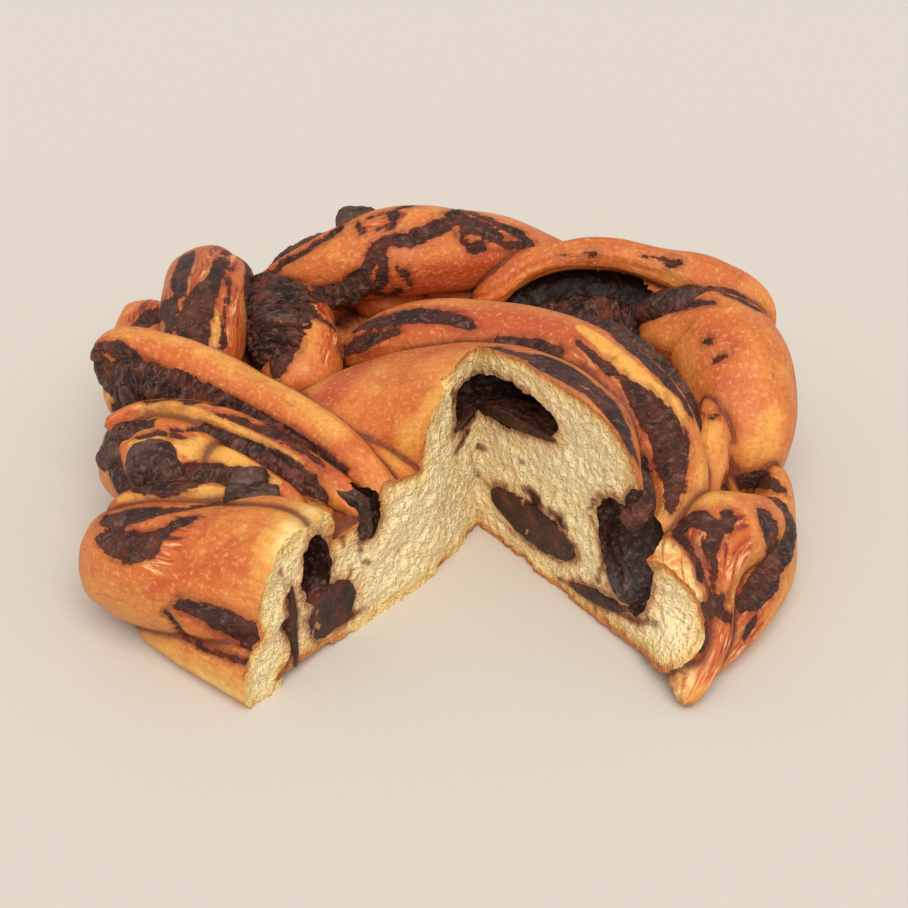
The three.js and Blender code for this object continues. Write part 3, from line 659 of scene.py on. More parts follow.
def line_at(points, t):
    """The point at share t of a smooth line through points, which bends by the root of each gap."""
    last = len(points) - 1
    i = min(int(t * last), last - 1)
    w = t * last - i
    b, c = points[i], points[i + 1]
    a = points[i - 1] if i > 0 else 2 * b - c
    d = points[i + 2] if i + 2 <= last else 2 * c - b
    before, gap, after = (math.sqrt(np.linalg.norm(q - p)) or 1.0 for p, q in ((a, b), (b, c), (c, d)))
    start = gap * ((b - a) / before - (c - a) / (before + gap) + (c - b) / gap)
    end = gap * ((c - b) / gap - (d - b) / (gap + after) + (d - c) / after)
    return b + start * w + (3 * (c - b) - 2 * start - end) * w**2 + (2 * (b - c) + start + end) * w**3


def turned(vector, axis, angle):
    """vector turned about axis, where the two are square to each other."""
    return vector * math.cos(angle) + np.cross(axis, vector) * math.sin(angle)


def strand(name, stations, grain, relief, which=0):
    """One strand: a ball laid out along a smooth line, so that its poles become the strand's ends.

    relief(point, run, angle) gives how far the surface stands proud there, in mm. The map called
    lie holds the distance along the strand and round it, in metres.
    """
    rows = np.array(stations, float)
    line, size = rows[:, :3] - MIDDLE, rows[:, 3:]
    fine = np.array([line_at(line, t) for t in np.linspace(0, 1, LINE_PARTS)])
    length = np.linalg.norm(np.diff(fine, axis=0), axis=1).sum()
    girth = math.pi * rows[:, 3:5].max(0).sum()
    rings = max(10, round(length / grain)) + 4
    sides = max(12, round(girth / grain))
    bm = bmesh.new()
    bmesh.ops.create_uvsphere(bm, u_segments=sides, v_segments=rings, radius=1)
    lie = bm.loops.layers.uv.new("lie")
    kind = bm.faces.layers.int.new("which")
    frames = []
    for i in range(rings + 1):
        t = i / rings
        wide, deep, roll = line_at(size, t)
        along = line_at(line, min(1, t + 0.001)) - line_at(line, max(0, t - 0.001))
        along /= np.linalg.norm(along)
        side = np.cross(along, UP)
        side /= np.linalg.norm(side)
        out = np.cross(side, along)
        blunt = (1 - abs(2 * t - 1) ** 4) ** 0.4
        frames.append((
            line_at(line, t), wide * blunt * turned(side, along, math.radians(roll)),
            deep * blunt * turned(out, along, math.radians(roll)), blunt,
        ))
    where = {}
    for v in bm.verts:
        ring = round(math.acos(max(-1, min(1, v.co.z))) / math.pi * rings)
        angle = math.atan2(v.co.y, v.co.x)
        middle, side, out, blunt = frames[ring]
        reach = side * math.cos(angle) + out * math.sin(angle)
        run = ring / rings * length
        at = middle + reach
        if blunt > 0:
            at = at + reach / np.linalg.norm(reach) * relief(at, run, angle) * min(1, 2 * blunt)
        v.co = Vector(at * MM)
        where[v.index] = (run, angle, blunt == 0)
    for f in bm.faces:
        f[kind] = which
        angles = [where[loop.vert.index][1] for loop in f.loops if not where[loop.vert.index][2]]
        wraps = max(angles) - min(angles) > math.pi
        angles = [a + 2 * math.pi if wraps and a < 0 else a for a in angles]
        for loop in f.loops:
            run, angle, pole = where[loop.vert.index]
            angle = angle + 2 * math.pi if wraps and angle < 0 else angle
            angle = sum(angles) / len(angles) if pole else angle
            loop[lie].uv = (run * MM, angle / (2 * math.pi) * girth * MM)
    return new_object(name, bm)


def new_object(name, bm):
    """bm as an object of its own, which ends bm."""
    mesh = bpy.data.meshes.new(name)
    bm.to_mesh(mesh)
    bm.free()
    made = bpy.data.objects.new(name, mesh)
    bpy.context.scene.collection.objects.link(made)
    return made


def boolean(body, others, operation):
    """body joined with or cut by others, which are then removed."""
    group = bpy.data.collections.new("tools")
    for other in others:
        group.objects.link(other)
    step = body.modifiers.new("step", "BOOLEAN")
    step.operation, step.solver = operation, "MANIFOLD"
    step.operand_type, step.collection = "COLLECTION", group
    bpy.context.view_layer.update()
    done = bpy.data.meshes.new_from_object(body.evaluated_get(bpy.context.evaluated_depsgraph_get()))
    body.modifiers.clear()
    done.materials.clear()
    body.data = done
    bpy.data.collections.remove(group)
    for other in others:
        bpy.data.objects.remove(other)
    return body


def tag(bm, which):
    """Every face of bm is of one kind."""
    kind = bm.faces.layers.int.new("which")
    bm.loops.layers.uv.new("lie")
    for f in bm.faces:
        f[kind] = which


def core():
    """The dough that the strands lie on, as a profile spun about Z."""
    bm = bmesh.new()
    tag(bm, CORE)
    profile = [(0, 0), *CORE_PROFILE, (0, CORE_HEIGHT)]
    verts = [bm.verts.new((r * MM, 0, z * MM)) for r, z in profile]
    edges = [bm.edges.new(pair) for pair in zip(verts, verts[1:])]
    bmesh.ops.spin(
        bm, geom=verts + edges, cent=(0, 0, 0), axis=(0, 0, 1), angle=2 * math.pi,
        steps=CORE_STEPS, use_merge=True, use_duplicate=False,
    )
    bmesh.ops.remove_doubles(bm, verts=bm.verts, dist=0.01 * MM)
    bmesh.ops.recalc_face_normals(bm, faces=bm.faces)
    bmesh.ops.translate(bm, verts=bm.verts, vec=Vector(-MIDDLE * MM))
    for f in bm.faces:
        f[bm.faces.layers.int["which"]] = CORE
    return new_object("core", bm)


def side_roll(i):
    """The stations of one roll of the back."""
    stations = []
    for reach, z, turn, wide, deep in SIDE_RISE:
        a = math.radians(SIDE_START + i * SIDE_STEP + turn)
        stations.append([reach * math.cos(a), reach * math.sin(a), z, wide, deep, 0])
    return stations


def cutter(name, lift, roughness):
    """The wedge that was cut out: one folded sheet for its two walls, closed by three caps.

    lift moves both walls into the gap, and roughness(point) moves a point of a wall, in mm.
    """
    low, high = (np.array([*CUT_LEFT[::-1], CUT_APEX, *right], float) - MIDDLE[:2]
                 for right in (CUT_RIGHT, CUT_RIGHT_HIGH))
    runs = np.concatenate([[0], np.cumsum(np.linalg.norm(np.diff(low, axis=0), axis=1))])
    columns = round(runs[-1] / FINE)
    rows = round((CUT_TOP - CUT_BOTTOM) / FINE)
    bm = bmesh.new()
    bmesh.ops.create_grid(bm, x_segments=columns, y_segments=rows, size=0.5)
    grid = {}
    for v in bm.verts:
        i, j = round((v.co.x + 0.5) * columns), round((v.co.y + 0.5) * rows)
        grid[i, j] = v
        s = i / columns * (runs[-1] - 1)
        z = CUT_BOTTOM + j / rows * (CUT_TOP - CUT_BOTTOM)
        lean = np.clip((z - LEAN_FROM) / (LEAN_TO - LEAN_FROM), 0, 1)
        path = low + (high - low) * lean * lean * (3 - 2 * lean)
        at, near = (np.array([np.interp(q, runs, path[:, k]) for k in (0, 1)]) for q in (s, s + 1))
        along = (near - at) / np.linalg.norm(near - at)
        inward = np.array([-along[1], along[0]])
        point = np.array([*at, z])
        shift = inward * (roughness(point) - lift)
        v.co = Vector((*(point[:2] + shift), point[2])) * MM
    left = [grid[0, j] for j in range(rows + 1)]
    right = [grid[columns, j] for j in range(rows + 1)]
    bm.faces.new([grid[i, 0] for i in range(columns + 1)])
    bm.faces.new([grid[i, rows] for i in range(columns, -1, -1)])
    bm.faces.new([*left, *right[::-1]])
    bmesh.ops.recalc_face_normals(bm, faces=bm.faces)
    tag(bm, CUT)
    return new_object(name, bm)


def floor_cutter():
    """Everything below the surface that the loaf stands on."""
    bm = bmesh.new()
    bmesh.ops.create_cube(bm, size=1)
    bmesh.ops.scale(bm, verts=bm.verts, vec=(0.4, 0.4, 0.1))
    bmesh.ops.translate(bm, verts=bm.verts, vec=(0, 0, -0.05))
    tag(bm, FLOOR)
    return new_object("below", bm)


def dough_relief(seed):
    """Soft lumps, folds that run along the strand and the fine pull of the skin, in mm."""
    def relief(at, run, angle):
        lump = noise.noise(Vector(at / 19) + Vector((seed, 0, 0)))
        fold = noise.noise(Vector((run / 42, 2.1 * math.cos(angle), 2.1 * math.sin(angle) + seed)))
        pull = noise.noise(Vector((run / 9, 7 * math.cos(angle), 7 * math.sin(angle) + seed)))
        return 0.9 * lump + 0.8 * fold + 0.22 * pull
    return relief


def chocolate_relief(seed, ruffled=1.0):
    """The ruffled skin of baked chocolate, with folds that run round the strand, in mm."""
    def relief(at, run, angle):
        soft = noise.noise(Vector(at / 7) + Vector((seed, 0, 0)))
        bend = 1.6 * noise.noise(Vector(at / 8) + Vector((0, 0, seed)))
        fold = noise.noise(Vector((run / 2.6 + bend, 1.2 * math.cos(angle), 1.2 * math.sin(angle) + seed)))
        ruffle = noise.ridged_multi_fractal(Vector(at / 3.6) + Vector((0, seed, 0)), 0.9, 2.1, 3, 1.0, 2.0)
        return 0.8 * soft + 0.6 * (ruffle - 1.1) + ruffled * 1.3 * (0.35 - abs(fold))
    return relief


def crumb(at):
    """How deep torn crumb lies at a point of a cut, in mm: soft hollows, cells and short fibres."""
    p = Vector(at)
    near = noise.voronoi(Vector((p.x / 3.4, p.y / 3.4, p.z / 4.2)))[0][0]
    hollow = noise.noise(p / 12)
    fibre = noise.noise(Vector((p.x / 1.9, p.y / 1.9, p.z / 3.4)))
    hole = max(0.0, noise.noise(p / 5.3 + Vector((7, 3, 1))) - 0.34)
    return 1.1 * hollow + 2.4 * max(0.0, 0.46 - near) + 0.7 * fibre + 5.0 * hole


def smooth_creases(mesh):
    """Rounds the valleys where two strands meet, as dough that has baked together."""
    bm = bmesh.new()
    bm.from_mesh(mesh)
    kind = bm.faces.layers.int["which"]
    crease = {v for v in bm.verts if len({f[kind] for f in v.link_faces}) > 1}
    for _ in range(CREASE_RINGS):
        crease |= {e.other_vert(v) for v in crease for e in v.link_edges}
    for _ in range(CREASE_PASSES):
        bmesh.ops.smooth_vert(
            bm, verts=list(crease), factor=0.5, use_axis_x=True, use_axis_y=True, use_axis_z=True)
    bm.to_mesh(mesh)
    bm.free()


def keep_largest(mesh):
    """Drops the scraps that a cut leaves."""
    bm = bmesh.new()
    bm.from_mesh(mesh)
    left, parts = set(bm.verts), []
    while left:
        part, edge = set(), [left.pop()]
        while edge:
            v = edge.pop()
            part.add(v)
            near = {e.other_vert(v) for e in v.link_edges} & left
            left -= near
            edge.extend(near)
        parts.append(part)
    keep = max(parts, key=len)
    bmesh.ops.delete(bm, geom=[v for v in bm.verts if v not in keep], context="VERTS")
    bm.to_mesh(mesh)
    bm.free()


def tree_of(mesh):
    """mesh as a tree that answers which point of it is nearest."""
    return BVHTree.FromPolygons([v.co for v in mesh.vertices], [tuple(p.vertices) for p in mesh.polygons])


def camera():
    """The camera, where the picture was taken from."""
    data = bpy.data.cameras.new("camera")
    data.sensor_width = SENSOR
    data.lens = PIXELS_DEEP / PICTURE * SENSOR
    made = bpy.data.objects.new("camera", data)
    back = np.array([0, -math.cos(CAMERA_HEIGHT), math.sin(CAMERA_HEIGHT)])
    made.location = (AIM - MIDDLE + back * DISTANCE) * MM
    made.rotation_euler = (math.pi / 2 - CAMERA_HEIGHT, 0, 0)
    bpy.context.scene.collection.objects.link(made)
    bpy.context.scene.camera = made
    bpy.context.view_layer.update()
    return made


def laid(strokes, tree, eye):
    """The strokes laid on a solid: rows of (x, y, z, half width), in mm, about 1 mm apart."""
    rows = []
    to_world = eye.matrix_world.to_3x3()
    start = eye.matrix_world.translation
    for stroke in strokes.values():
        for (x0, y0, w0), (x1, y1, w1) in zip(stroke, stroke[1:]):
            steps = max(2, round(math.hypot(x1 - x0, y1 - y0) / STROKE_STEP))
            for s in range(steps + 1):
                x, y, w = (a + (b - a) * s / steps for a, b in ((x0, x1), (y0, y1), (w0, w1)))
                ray = Vector((x - PICTURE / 2, PICTURE / 2 - y, -PIXELS_DEEP))
                hit = tree.ray_cast(start, to_world @ ray.normalized())[0]
                if hit is not None:
                    rows.append((*(hit / MM), w))
    return np.array(rows)


def beyond(points, rows):
    """How far each point lies outside the nearest stroke, in mm, and less than 0 in it."""
    tree = KDTree(len(rows))
    for i, row in enumerate(rows):
        tree.insert(row[:3], i)
    tree.balance()
    far = np.full(len(points), FAR)
    for i, p in enumerate(points):
        found = tree.find_range(p, REACH)
        if found:
            far[i] = min(d - rows[j][3] for _, j, d in found)
    return far


def set_field(mesh, name, values):
    """values, one for each vertex, as an attribute that materials read."""
    field = mesh.attributes.new(name, "FLOAT", "POINT")
    field.data.foreach_set("value", np.asarray(values, np.float32))


def points_of(mesh):
    """The vertices of mesh, in mm."""
    flat = np.zeros(len(mesh.vertices) * 3, np.float32)
    mesh.vertices.foreach_get("co", flat)
    return flat.reshape(-1, 3).astype(float) / MM


def linear(code):
    """An sRGB hex colour as the linear one that shaders take."""
    parts = [int(code[i:i + 2], 16) / 255 for i in (1, 3, 5)]
    return (*(c / 12.92 if c <= 0.04045 else ((c + 0.055) / 1.055) ** 2.4 for c in parts), 1)


def node(tree, kind, inputs=None, **settings):
    """A new node with its settings, and its inputs by name or number: a value, or another node's output."""
    made = tree.nodes.new(kind)
    for key, value in settings.items():
        setattr(made, key, value)
    for key, value in (inputs or {}).items():
        if isinstance(value, bpy.types.NodeSocket):
            tree.links.new(value, made.inputs[key])
        else:
            made.inputs[key].default_value = value
    return made


def finish(name, roughness, **sockets):
    """A material with its tree, its shader and its place on the object."""
    made = bpy.data.materials.new(name)
    made.use_nodes = True
    tree = made.node_tree
    shader = tree.nodes["Principled BSDF"]
    shader.inputs["Roughness"].default_value = roughness
    for key, value in sockets.items():
        shader.inputs[key.replace("_", " ")].default_value = value
    place = node(tree, "ShaderNodeTexCoord")
    return made, tree, shader, place


def pattern(tree, place, size, detail=3.0, stretch=(1, 1, 1), rough=0.5, swirl=0.0):
    """Noise whose features are size mm across."""
    scaled = node(tree, "ShaderNodeMapping", {"Vector": place, "Scale": tuple(1 / s for s in stretch)})
    made = node(tree, "ShaderNodeTexNoise", {
        "Vector": scaled.outputs[0], "Scale": 1000 / size, "Detail": detail, "Roughness": rough,
        "Distortion": swirl})
    return made.outputs[0]


def bubbles(tree, place, size, bend):
    """Cells size mm across with bent walls: how far a point is from the middle of its cell."""
    waves = node(tree, "ShaderNodeTexNoise", {"Vector": place, "Scale": 700 / size, "Detail": 2.0})
    bent = node(tree, "ShaderNodeVectorMath", {
        0: waves.outputs["Color"], 1: (bend * MM, bend * MM, bend * MM), 2: place}, operation="MULTIPLY_ADD")
    return node(tree, "ShaderNodeTexVoronoi", {
        "Vector": bent.outputs[0], "Scale": 1000 / size, "Detail": 1.0}).outputs["Distance"]


def layered(tree, base, *layers):
    """base under layers of colour, each (value, none from here, full from here, how much, colour)."""
    for value, start, end, most, colour in layers:
        share = node(tree, "ShaderNodeMapRange", {
            "Value": value, "From Min": start, "From Max": end, "To Max": most,
        }, interpolation_type="SMOOTHSTEP").outputs[0]
        upper = linear(colour) if isinstance(colour, str) else colour
        base = node(tree, "ShaderNodeMixRGB", {0: share, 1: base, 2: upper}).outputs[0]
    return base


def sums(tree, *terms):
    """The sum of values, each a socket or a pair of a socket and what it is multiplied by."""
    total = None
    for term in terms:
        value, factor = term if isinstance(term, tuple) else (term, 1.0)
        total = node(tree, "ShaderNodeMath", {
            0: value, 1: factor, 2: 0.0 if total is None else total}, operation="MULTIPLY_ADD").outputs[0]
    return total


def crust():
    """Baked brioche skin under a thin egg glaze: satin and finely pebbled, golden to chestnut.

    Chocolate lies on it as thin reddish films, as dark ragged stains and as marbling, which all
    run along the strands. Where the dough tore it is crumb. Painted highlights lie along its crests
    and lit edges, and painted shade darkens its creases, its folds and a few gaps. Its pebbles are
    lighter on top and browner between them, partly their own tone and partly painted highlight and shade.
    """
    made, tree, shader, place = finish("egg_glazed_brioche_crust", 0.5, IOR=1.42)
    at = place.outputs["Object"]
    lie = node(tree, "ShaderNodeUVMap", uv_map="lie").outputs[0]
    field = {key: node(tree, "ShaderNodeAttribute", attribute_name=key).outputs["Fac"]
             for key in ("dark", "red", "pale", "painted_highlight", "marble", "torn", "fold", "crease", "height")}
    patches = pattern(tree, at, 26, 2)
    clouds = pattern(tree, at, 9, 4, rough=0.6)
    ragged = pattern(tree, at, 3.2, 4, rough=0.65, swirl=0.6)
    pores = pattern(tree, at, 1.5, 3, rough=0.65)
    grain = pattern(tree, at, 0.8, 2)
    specks = pattern(tree, at, 4.2, 4, (1, 1, 1), 0.8, 1.5)
    streaks = pattern(tree, lie, 2.6, 4, (8, 1, 1), 0.6)
    wander = sums(tree, (clouds, 5.0), (ragged, 4.0), (streaks, 4.5), -6.75)

    red = sums(tree, field["red"], wander)
    painted_highlight = sums(tree, field["painted_highlight"], (wander, 1.3))
    pale = sums(tree, field["pale"], (wander, 0.4))
    veins = sums(tree, field["marble"], (wander, 0.9))
    rip = sums(tree, field["torn"], (wander, 0.55))
    crease_shade = sums(tree, field["crease"], (wander, 0.3))
    fold_shade = sums(tree, field["fold"], (wander, 0.2))
    film = sums(tree, field["dark"], (wander, 1.5))
    swirls = pattern(tree, lie, 3.0, 5, (4, 1, 1), 0.66, 1.2)
    marbled = layered(
        tree, linear(RED_BROWN),
        (swirls, 0.42, 0.53, 1, ORANGE),
        (swirls, 0.54, 0.62, 1, LIGHT),
        (swirls, 0.43, 0.36, 1, COCOA),
    )
    hole_shade = bubbles(tree, at, 2.6, 2.2)
    inner = layered(
        tree, linear(WHEAT),
        (clouds, 0.4, 0.62, 1, TAN),
        (ragged, 0.5, 0.62, 0.7, CREAM),
        # Painted shade in the middles of the cells of the torn crumb.
        (hole_shade, 0.44, 0.12, 0.9, AMBER),
        (streaks, 0.5, 0.62, 0.8, BROWN),
        (ragged, 0.42, 0.32, 0.8, RED_BROWN),
    )
    base = layered(
        tree, linear(GOLD),
        (patches, 0.36, 0.62, 1, ORANGE),
        (field["height"], 40, 4, 0.85, HONEY),
        (clouds, 0.52, 0.72, 0.5, RED_BROWN),
        (clouds, 0.46, 0.3, 0.6, HONEY),
        (streaks, 0.54, 0.7, 0.45, BROWN),
        (red, 3.0, -3.0, 0.75, RED_BROWN),
        # Painted highlights, yellow and then straw-pale.
        (painted_highlight, 5.0, -3.5, 0.75, YELLOW),
        (painted_highlight, -1.5, -7.0, 0.75, HIGHLIGHT_STRAW),
        (pale, 0.6, -0.5, 0.9, YELLOW),
        # The pebbles of the skin, which also make the bump: partly their own tone, partly painted highlight
        # on their tops and painted shade between them.
        (pores, 0.52, 0.72, 0.45, LIGHT),
        (pores, 0.47, 0.3, 0.35, BROWN),
        (veins, 1.4, -1.6, 1, marbled),
        (rip, 0.9, -0.7, 1, inner),
        # Painted shade: the crust turns brown, then nearly maroon, towards the creases between strands.
        (field["crease"], 5.0, 0.6, 0.5, BROWN),
        (crease_shade, 1.9, 0.1, 0.8, MAROON),
        # Painted shade in the grooves of the folds.
        (fold_shade, 1.2, -0.6, 0.7, CHESTNUT),
        (specks, 0.71, 0.76, 0.8, CHESTNUT),
        (film, 3.2, -0.4, 0.6, CHESTNUT),
    )

    edge = sums(tree, field["dark"], (wander, 0.62))
    stain = node(tree, "ShaderNodeMapRange", {
        "Value": edge, "From Min": 0.45, "From Max": -0.15,
    }, interpolation_type="SMOOTHSTEP").outputs[0]
    wrinkles = pattern(tree, at, 2.4, 5, (1.6, 1, 1), 0.7, 1.6)
    cocoa = layered(
        tree, linear(CHOCOLATE),
        (clouds, 0.36, 0.66, 1, COCOA),
        # The wrinkles of a stain, which also make the bump: painted highlight on their crests and painted
        # shade in their hollows.
        (wrinkles, 0.5, 0.68, 0.75, BLOOM_AND_SHEEN),
        (wrinkles, 0.44, 0.32, 0.7, UMBER),
        (streaks, 0.59, 0.68, 0.6, CHESTNUT),
        (edge, -0.9, 0.2, 0.7, MAROON),
    )
    base = node(tree, "ShaderNodeMixRGB", {0: stain, 1: base, 2: cocoa}).outputs[0]
    tree.links.new(base, shader.inputs["Base Color"])
    tree.links.new(sums(tree, (pores, 0.2), (stain, 0.1), 0.36), shader.inputs["Roughness"])
    ruffle = node(tree, "ShaderNodeMath", {0: stain, 1: wrinkles}, operation="MULTIPLY").outputs[0]
    skin = sums(
        tree, (pores, 0.4), (grain, 0.14), (streaks, 0.3), (ruffle, 1.5), (swirls, 0.3), (stain, 0.2))
    bump = node(tree, "ShaderNodeBump", {"Height": skin, "Strength": 0.85, "Distance": 1.0 * MM})
    tree.links.new(bump.outputs[0], shader.inputs["Normal"])
    return made


def crumb_finish():
    """Torn brioche crumb: matt, cream and moist, full of cells, yellower towards the crust, with painted
    shade in the middles of its cells and where it lies deeper.
    """
    made, tree, shader, place = finish(
        "torn_brioche_crumb", 0.8, Subsurface_Weight=0.1, Subsurface_Radius=(0.004, 0.002, 0.001),
        Subsurface_Scale=1.0, Specular_IOR_Level=0.3)
    at = place.outputs["Object"]
    field = {key: node(tree, "ShaderNodeAttribute", attribute_name=key).outputs["Fac"]
             for key in ("depth", "near_chocolate", "pit", "painted_highlight", "smear")}
    clouds = pattern(tree, at, 14, 3)
    mottle = pattern(tree, at, 4.2, 5, (1, 1, 1.3), 0.68, 0.8)
    threads = pattern(tree, at, 1.6, 5, (1, 1, 1.6), 0.66, 0.6)
    cells = bubbles(tree, at, 2.4, 2.2)
    fine = bubbles(tree, at, 1.1, 1.0)
    wander = sums(tree, (mottle, 3.0), (clouds, 3.0), (threads, 1.0), -3.5)
    pit_shade = sums(tree, cells, (mottle, 0.8), -0.4)
    near = sums(tree, field["depth"], wander)
    edge = sums(tree, field["depth"], (wander, 0.5))
    stain = sums(tree, field["near_chocolate"], (wander, 2.2))
    smear = sums(tree, field["smear"], (wander, 0.9))
    spots = pattern(tree, at, 3.4, 4, rough=0.8)
    base = layered(
        tree, linear(CREAM),
        (clouds, 0.4, 0.6, 1, WHEAT),
        (mottle, 0.54, 0.68, 0.35, TAN),
        # Painted shade: tan in the middles of the cells and amber in their pits.
        (cells, 0.36, 0.12, 0.6, TAN),
        (pit_shade, 0.17, 0.02, 0.9, AMBER),
        (fine, 0.4, 0.66, 0.65, IVORY),
        (threads, 0.54, 0.66, 0.8, IVORY),
        (threads, 0.4, 0.3, 0.5, AMBER),
        # Painted shade where the torn crumb lies deeper.
        (field["pit"], 1.1, 2.6, 0.6, AMBER),
        (near, 8.0, 1.0, 0.6, BUTTER),
    )
    # The orange rim of the crumb fades out under the painted highlights.
    crusty = node(tree, "ShaderNodeMapRange", {
        "Value": field["painted_highlight"], "From Min": -1.0, "From Max": 3.0,
    }, interpolation_type="SMOOTHSTEP").outputs[0]
    rim = node(tree, "ShaderNodeMapRange", {
        "Value": edge, "From Min": 3.4, "From Max": 0.6, "To Max": 0.85,
    }, interpolation_type="SMOOTHSTEP").outputs[0]
    rim = node(tree, "ShaderNodeMath", {0: rim, 1: crusty}, operation="MULTIPLY").outputs[0]
    base = node(tree, "ShaderNodeMixRGB", {0: rim, 1: base, 2: linear(ORANGE)}).outputs[0]
    base = layered(
        tree, base,
        (stain, 6.0, 1.0, 0.5, TAN),
        (stain, 2.6, 0.2, 0.65, CHESTNUT),
        (smear, 1.2, -0.6, 0.8, CHESTNUT),
        (smear, -0.5, -1.6, 0.85, UMBER),
        (spots, 0.66, 0.71, 0.7, CHESTNUT),
    )
    tree.links.new(base, shader.inputs["Base Color"])
    rough = sums(tree, (mottle, 0.5), (threads, 0.35), (cells, 0.9), (fine, 0.45))
    bump = node(tree, "ShaderNodeBump", {"Height": rough, "Strength": 0.9, "Distance": 1.5 * MM})
    tree.links.new(bump.outputs[0], shader.inputs["Normal"])
    return made


def chocolate_finish(name, roughness, bright, bump_depth, ruffled=0.0):
    """Baked chocolate: warm brown, fatty and matt to satin, with dull bloom at random; where it is ruffled,
    its folds carry painted highlight on their crests and painted shade in their valleys.
    """
    made, tree, shader, place = finish(name, roughness, IOR=1.45, Specular_IOR_Level=0.4)
    at = place.outputs["Object"]
    lie = node(tree, "ShaderNodeUVMap", uv_map="lie").outputs[0]
    clouds = pattern(tree, at, 8, 3)
    folds = pattern(tree, lie, 2.6, 4, (1, 3.2, 1), 0.6, 1.6)
    grains = pattern(tree, at, 1.7, 5, rough=0.68)
    flecks = pattern(tree, at, 3.0, 4, rough=0.75)
    base = layered(
        tree, linear(CHOCOLATE),
        (clouds, 0.36, 0.64, 1, bright),
        (grains, 0.5, 0.66, 0.55, BLOOM_AND_SHEEN),
        (grains, 0.46, 0.32, 0.6, CHOCOLATE),
        # Painted shade in the valleys of the folds and painted highlight on their crests.
        (folds, 0.5, 0.38, ruffled, UMBER),
        (folds, 0.54, 0.66, 0.6 * ruffled, BLOOM_AND_SHEEN),
        (clouds, 0.56, 0.68, 0.6 * ruffled, CHESTNUT),
        (flecks, 0.66, 0.72, 0.8 * ruffled, TAN),
    )
    tree.links.new(base, shader.inputs["Base Color"])
    tree.links.new(sums(tree, (grains, 0.3), roughness - 0.15), shader.inputs["Roughness"])
    height = sums(tree, (grains, 0.6), (pattern(tree, at, 0.9, 2), 0.2), (folds, 1.8 * ruffled))
    bump = node(tree, "ShaderNodeBump", {"Height": height, "Strength": 0.85, "Distance": bump_depth * MM})
    tree.links.new(bump.outputs[0], shader.inputs["Normal"])
    return made


def floor_finish():
    """Matt pale paper."""
    made, tree, shader, place = finish("matt_pale_paper", 0.95)
    fibres = pattern(tree, place.outputs["Object"], 2, 3)
    base = layered(tree, linear(PAPER), (fibres, 0.3, 0.7, 0.06, CREAM))
    tree.links.new(base, shader.inputs["Base Color"])
    return made


def joined_dough():
    """The strands and the rolls of the back joined to the core, with round creases."""
    parts = []
    for i, (name, stations) in enumerate(STRANDS.items()):
        parts.append(strand(name, stations, GRAIN, dough_relief(i), i))
    for i in range(SIDE_ROLLS):
        parts.append(strand(f"side{i}", side_roll(i), GRAIN, dough_relief(SIDE_FIRST + i), SIDE_FIRST + i))
    body = boolean(core(), parts, "UNION")
    smooth_creases(body.data)
    return body


def paint_dough(body, whole, chocolate, eye):
    """Gives the dough its fields, and sinks its stains and folds a little."""
    mesh = body.data
    points = points_of(mesh)
    kinds = np.array([d.value for d in mesh.attributes["which"].data])
    touched = [set() for _ in points]
    for p in mesh.polygons:
        for v in p.vertices:
            touched[v].add(int(kinds[p.index]))
    at_cut = np.array([CUT in t for t in touched])
    inside = np.array([CUT in t or POCKET in t for t in touched])
    skin = np.array([not t & {CUT, POCKET, FLOOR} for t in touched])
    seen = tree_of(mesh)
    fields = {key: beyond(points, laid(strokes, seen, eye)) for key, strokes in STROKES.items()}
    # Distance to the creases between strands, where the crust takes painted shade.
    valley = [points[i] for i, t in enumerate(touched) if len(t - {CUT, POCKET, FLOOR}) > 1]
    fields["crease"] = beyond(points, np.array([(*p, 0.0) for p in valley]))
    fields["depth"] = np.array([
        whole.find_nearest(Vector(p * MM))[3] / MM if c else 0 for p, c in zip(points, inside)])
    hollows = [tuple(p.vertices) for p in mesh.polygons if kinds[p.index] == POCKET]
    lined = BVHTree.FromPolygons([v.co for v in mesh.vertices], hollows)
    fields["near_chocolate"] = np.array([
        min(FAR, *(tree.find_nearest(Vector(p * MM))[3] / MM for tree in (chocolate, lined))) if c else FAR
        for p, c in zip(points, inside)])
    fields["pit"] = np.array([crumb(p) if c else 0 for p, c in zip(points, at_cut)])
    fields["height"] = points[:, 2]
    sink = np.zeros(len(points))
    ruffle = np.array([noise.noise(Vector(p / 2.6)) for p in points])
    stained = np.clip(0.5 - fields["dark"], 0, 1)
    sink += stained * (0.5 - 0.7 * ruffle)
    sink += np.clip(1.2 - fields["fold"] / 1.2, 0, 2.2) * 0.75
    normals = np.array([v.normal for v in mesh.vertices])
    moved = (points - normals * (sink * skin)[:, None]) * MM
    mesh.vertices.foreach_set("co", moved.astype(np.float32).ravel())
    for key, values in fields.items():
        set_field(mesh, key, values)


def dress_dough(body, finishes):
    """Each face of the dough takes the finish of its kind, with hard edges at the cuts."""
    order = {CUT: 1, POCKET: 2}
    for f in finishes:
        body.data.materials.append(f)
    bm = bmesh.new()
    bm.from_mesh(body.data)
    kind = bm.faces.layers.int["which"]
    for f in bm.faces:
        f.smooth = True
        f.material_index = order.get(f[kind], 0)
    for e in bm.edges:
        sides = {f[kind] for f in e.link_faces}
        e.smooth = not (len(sides) > 1 and sides & {CUT, POCKET, FLOOR})
    bm.to_mesh(body.data)
    bm.free()


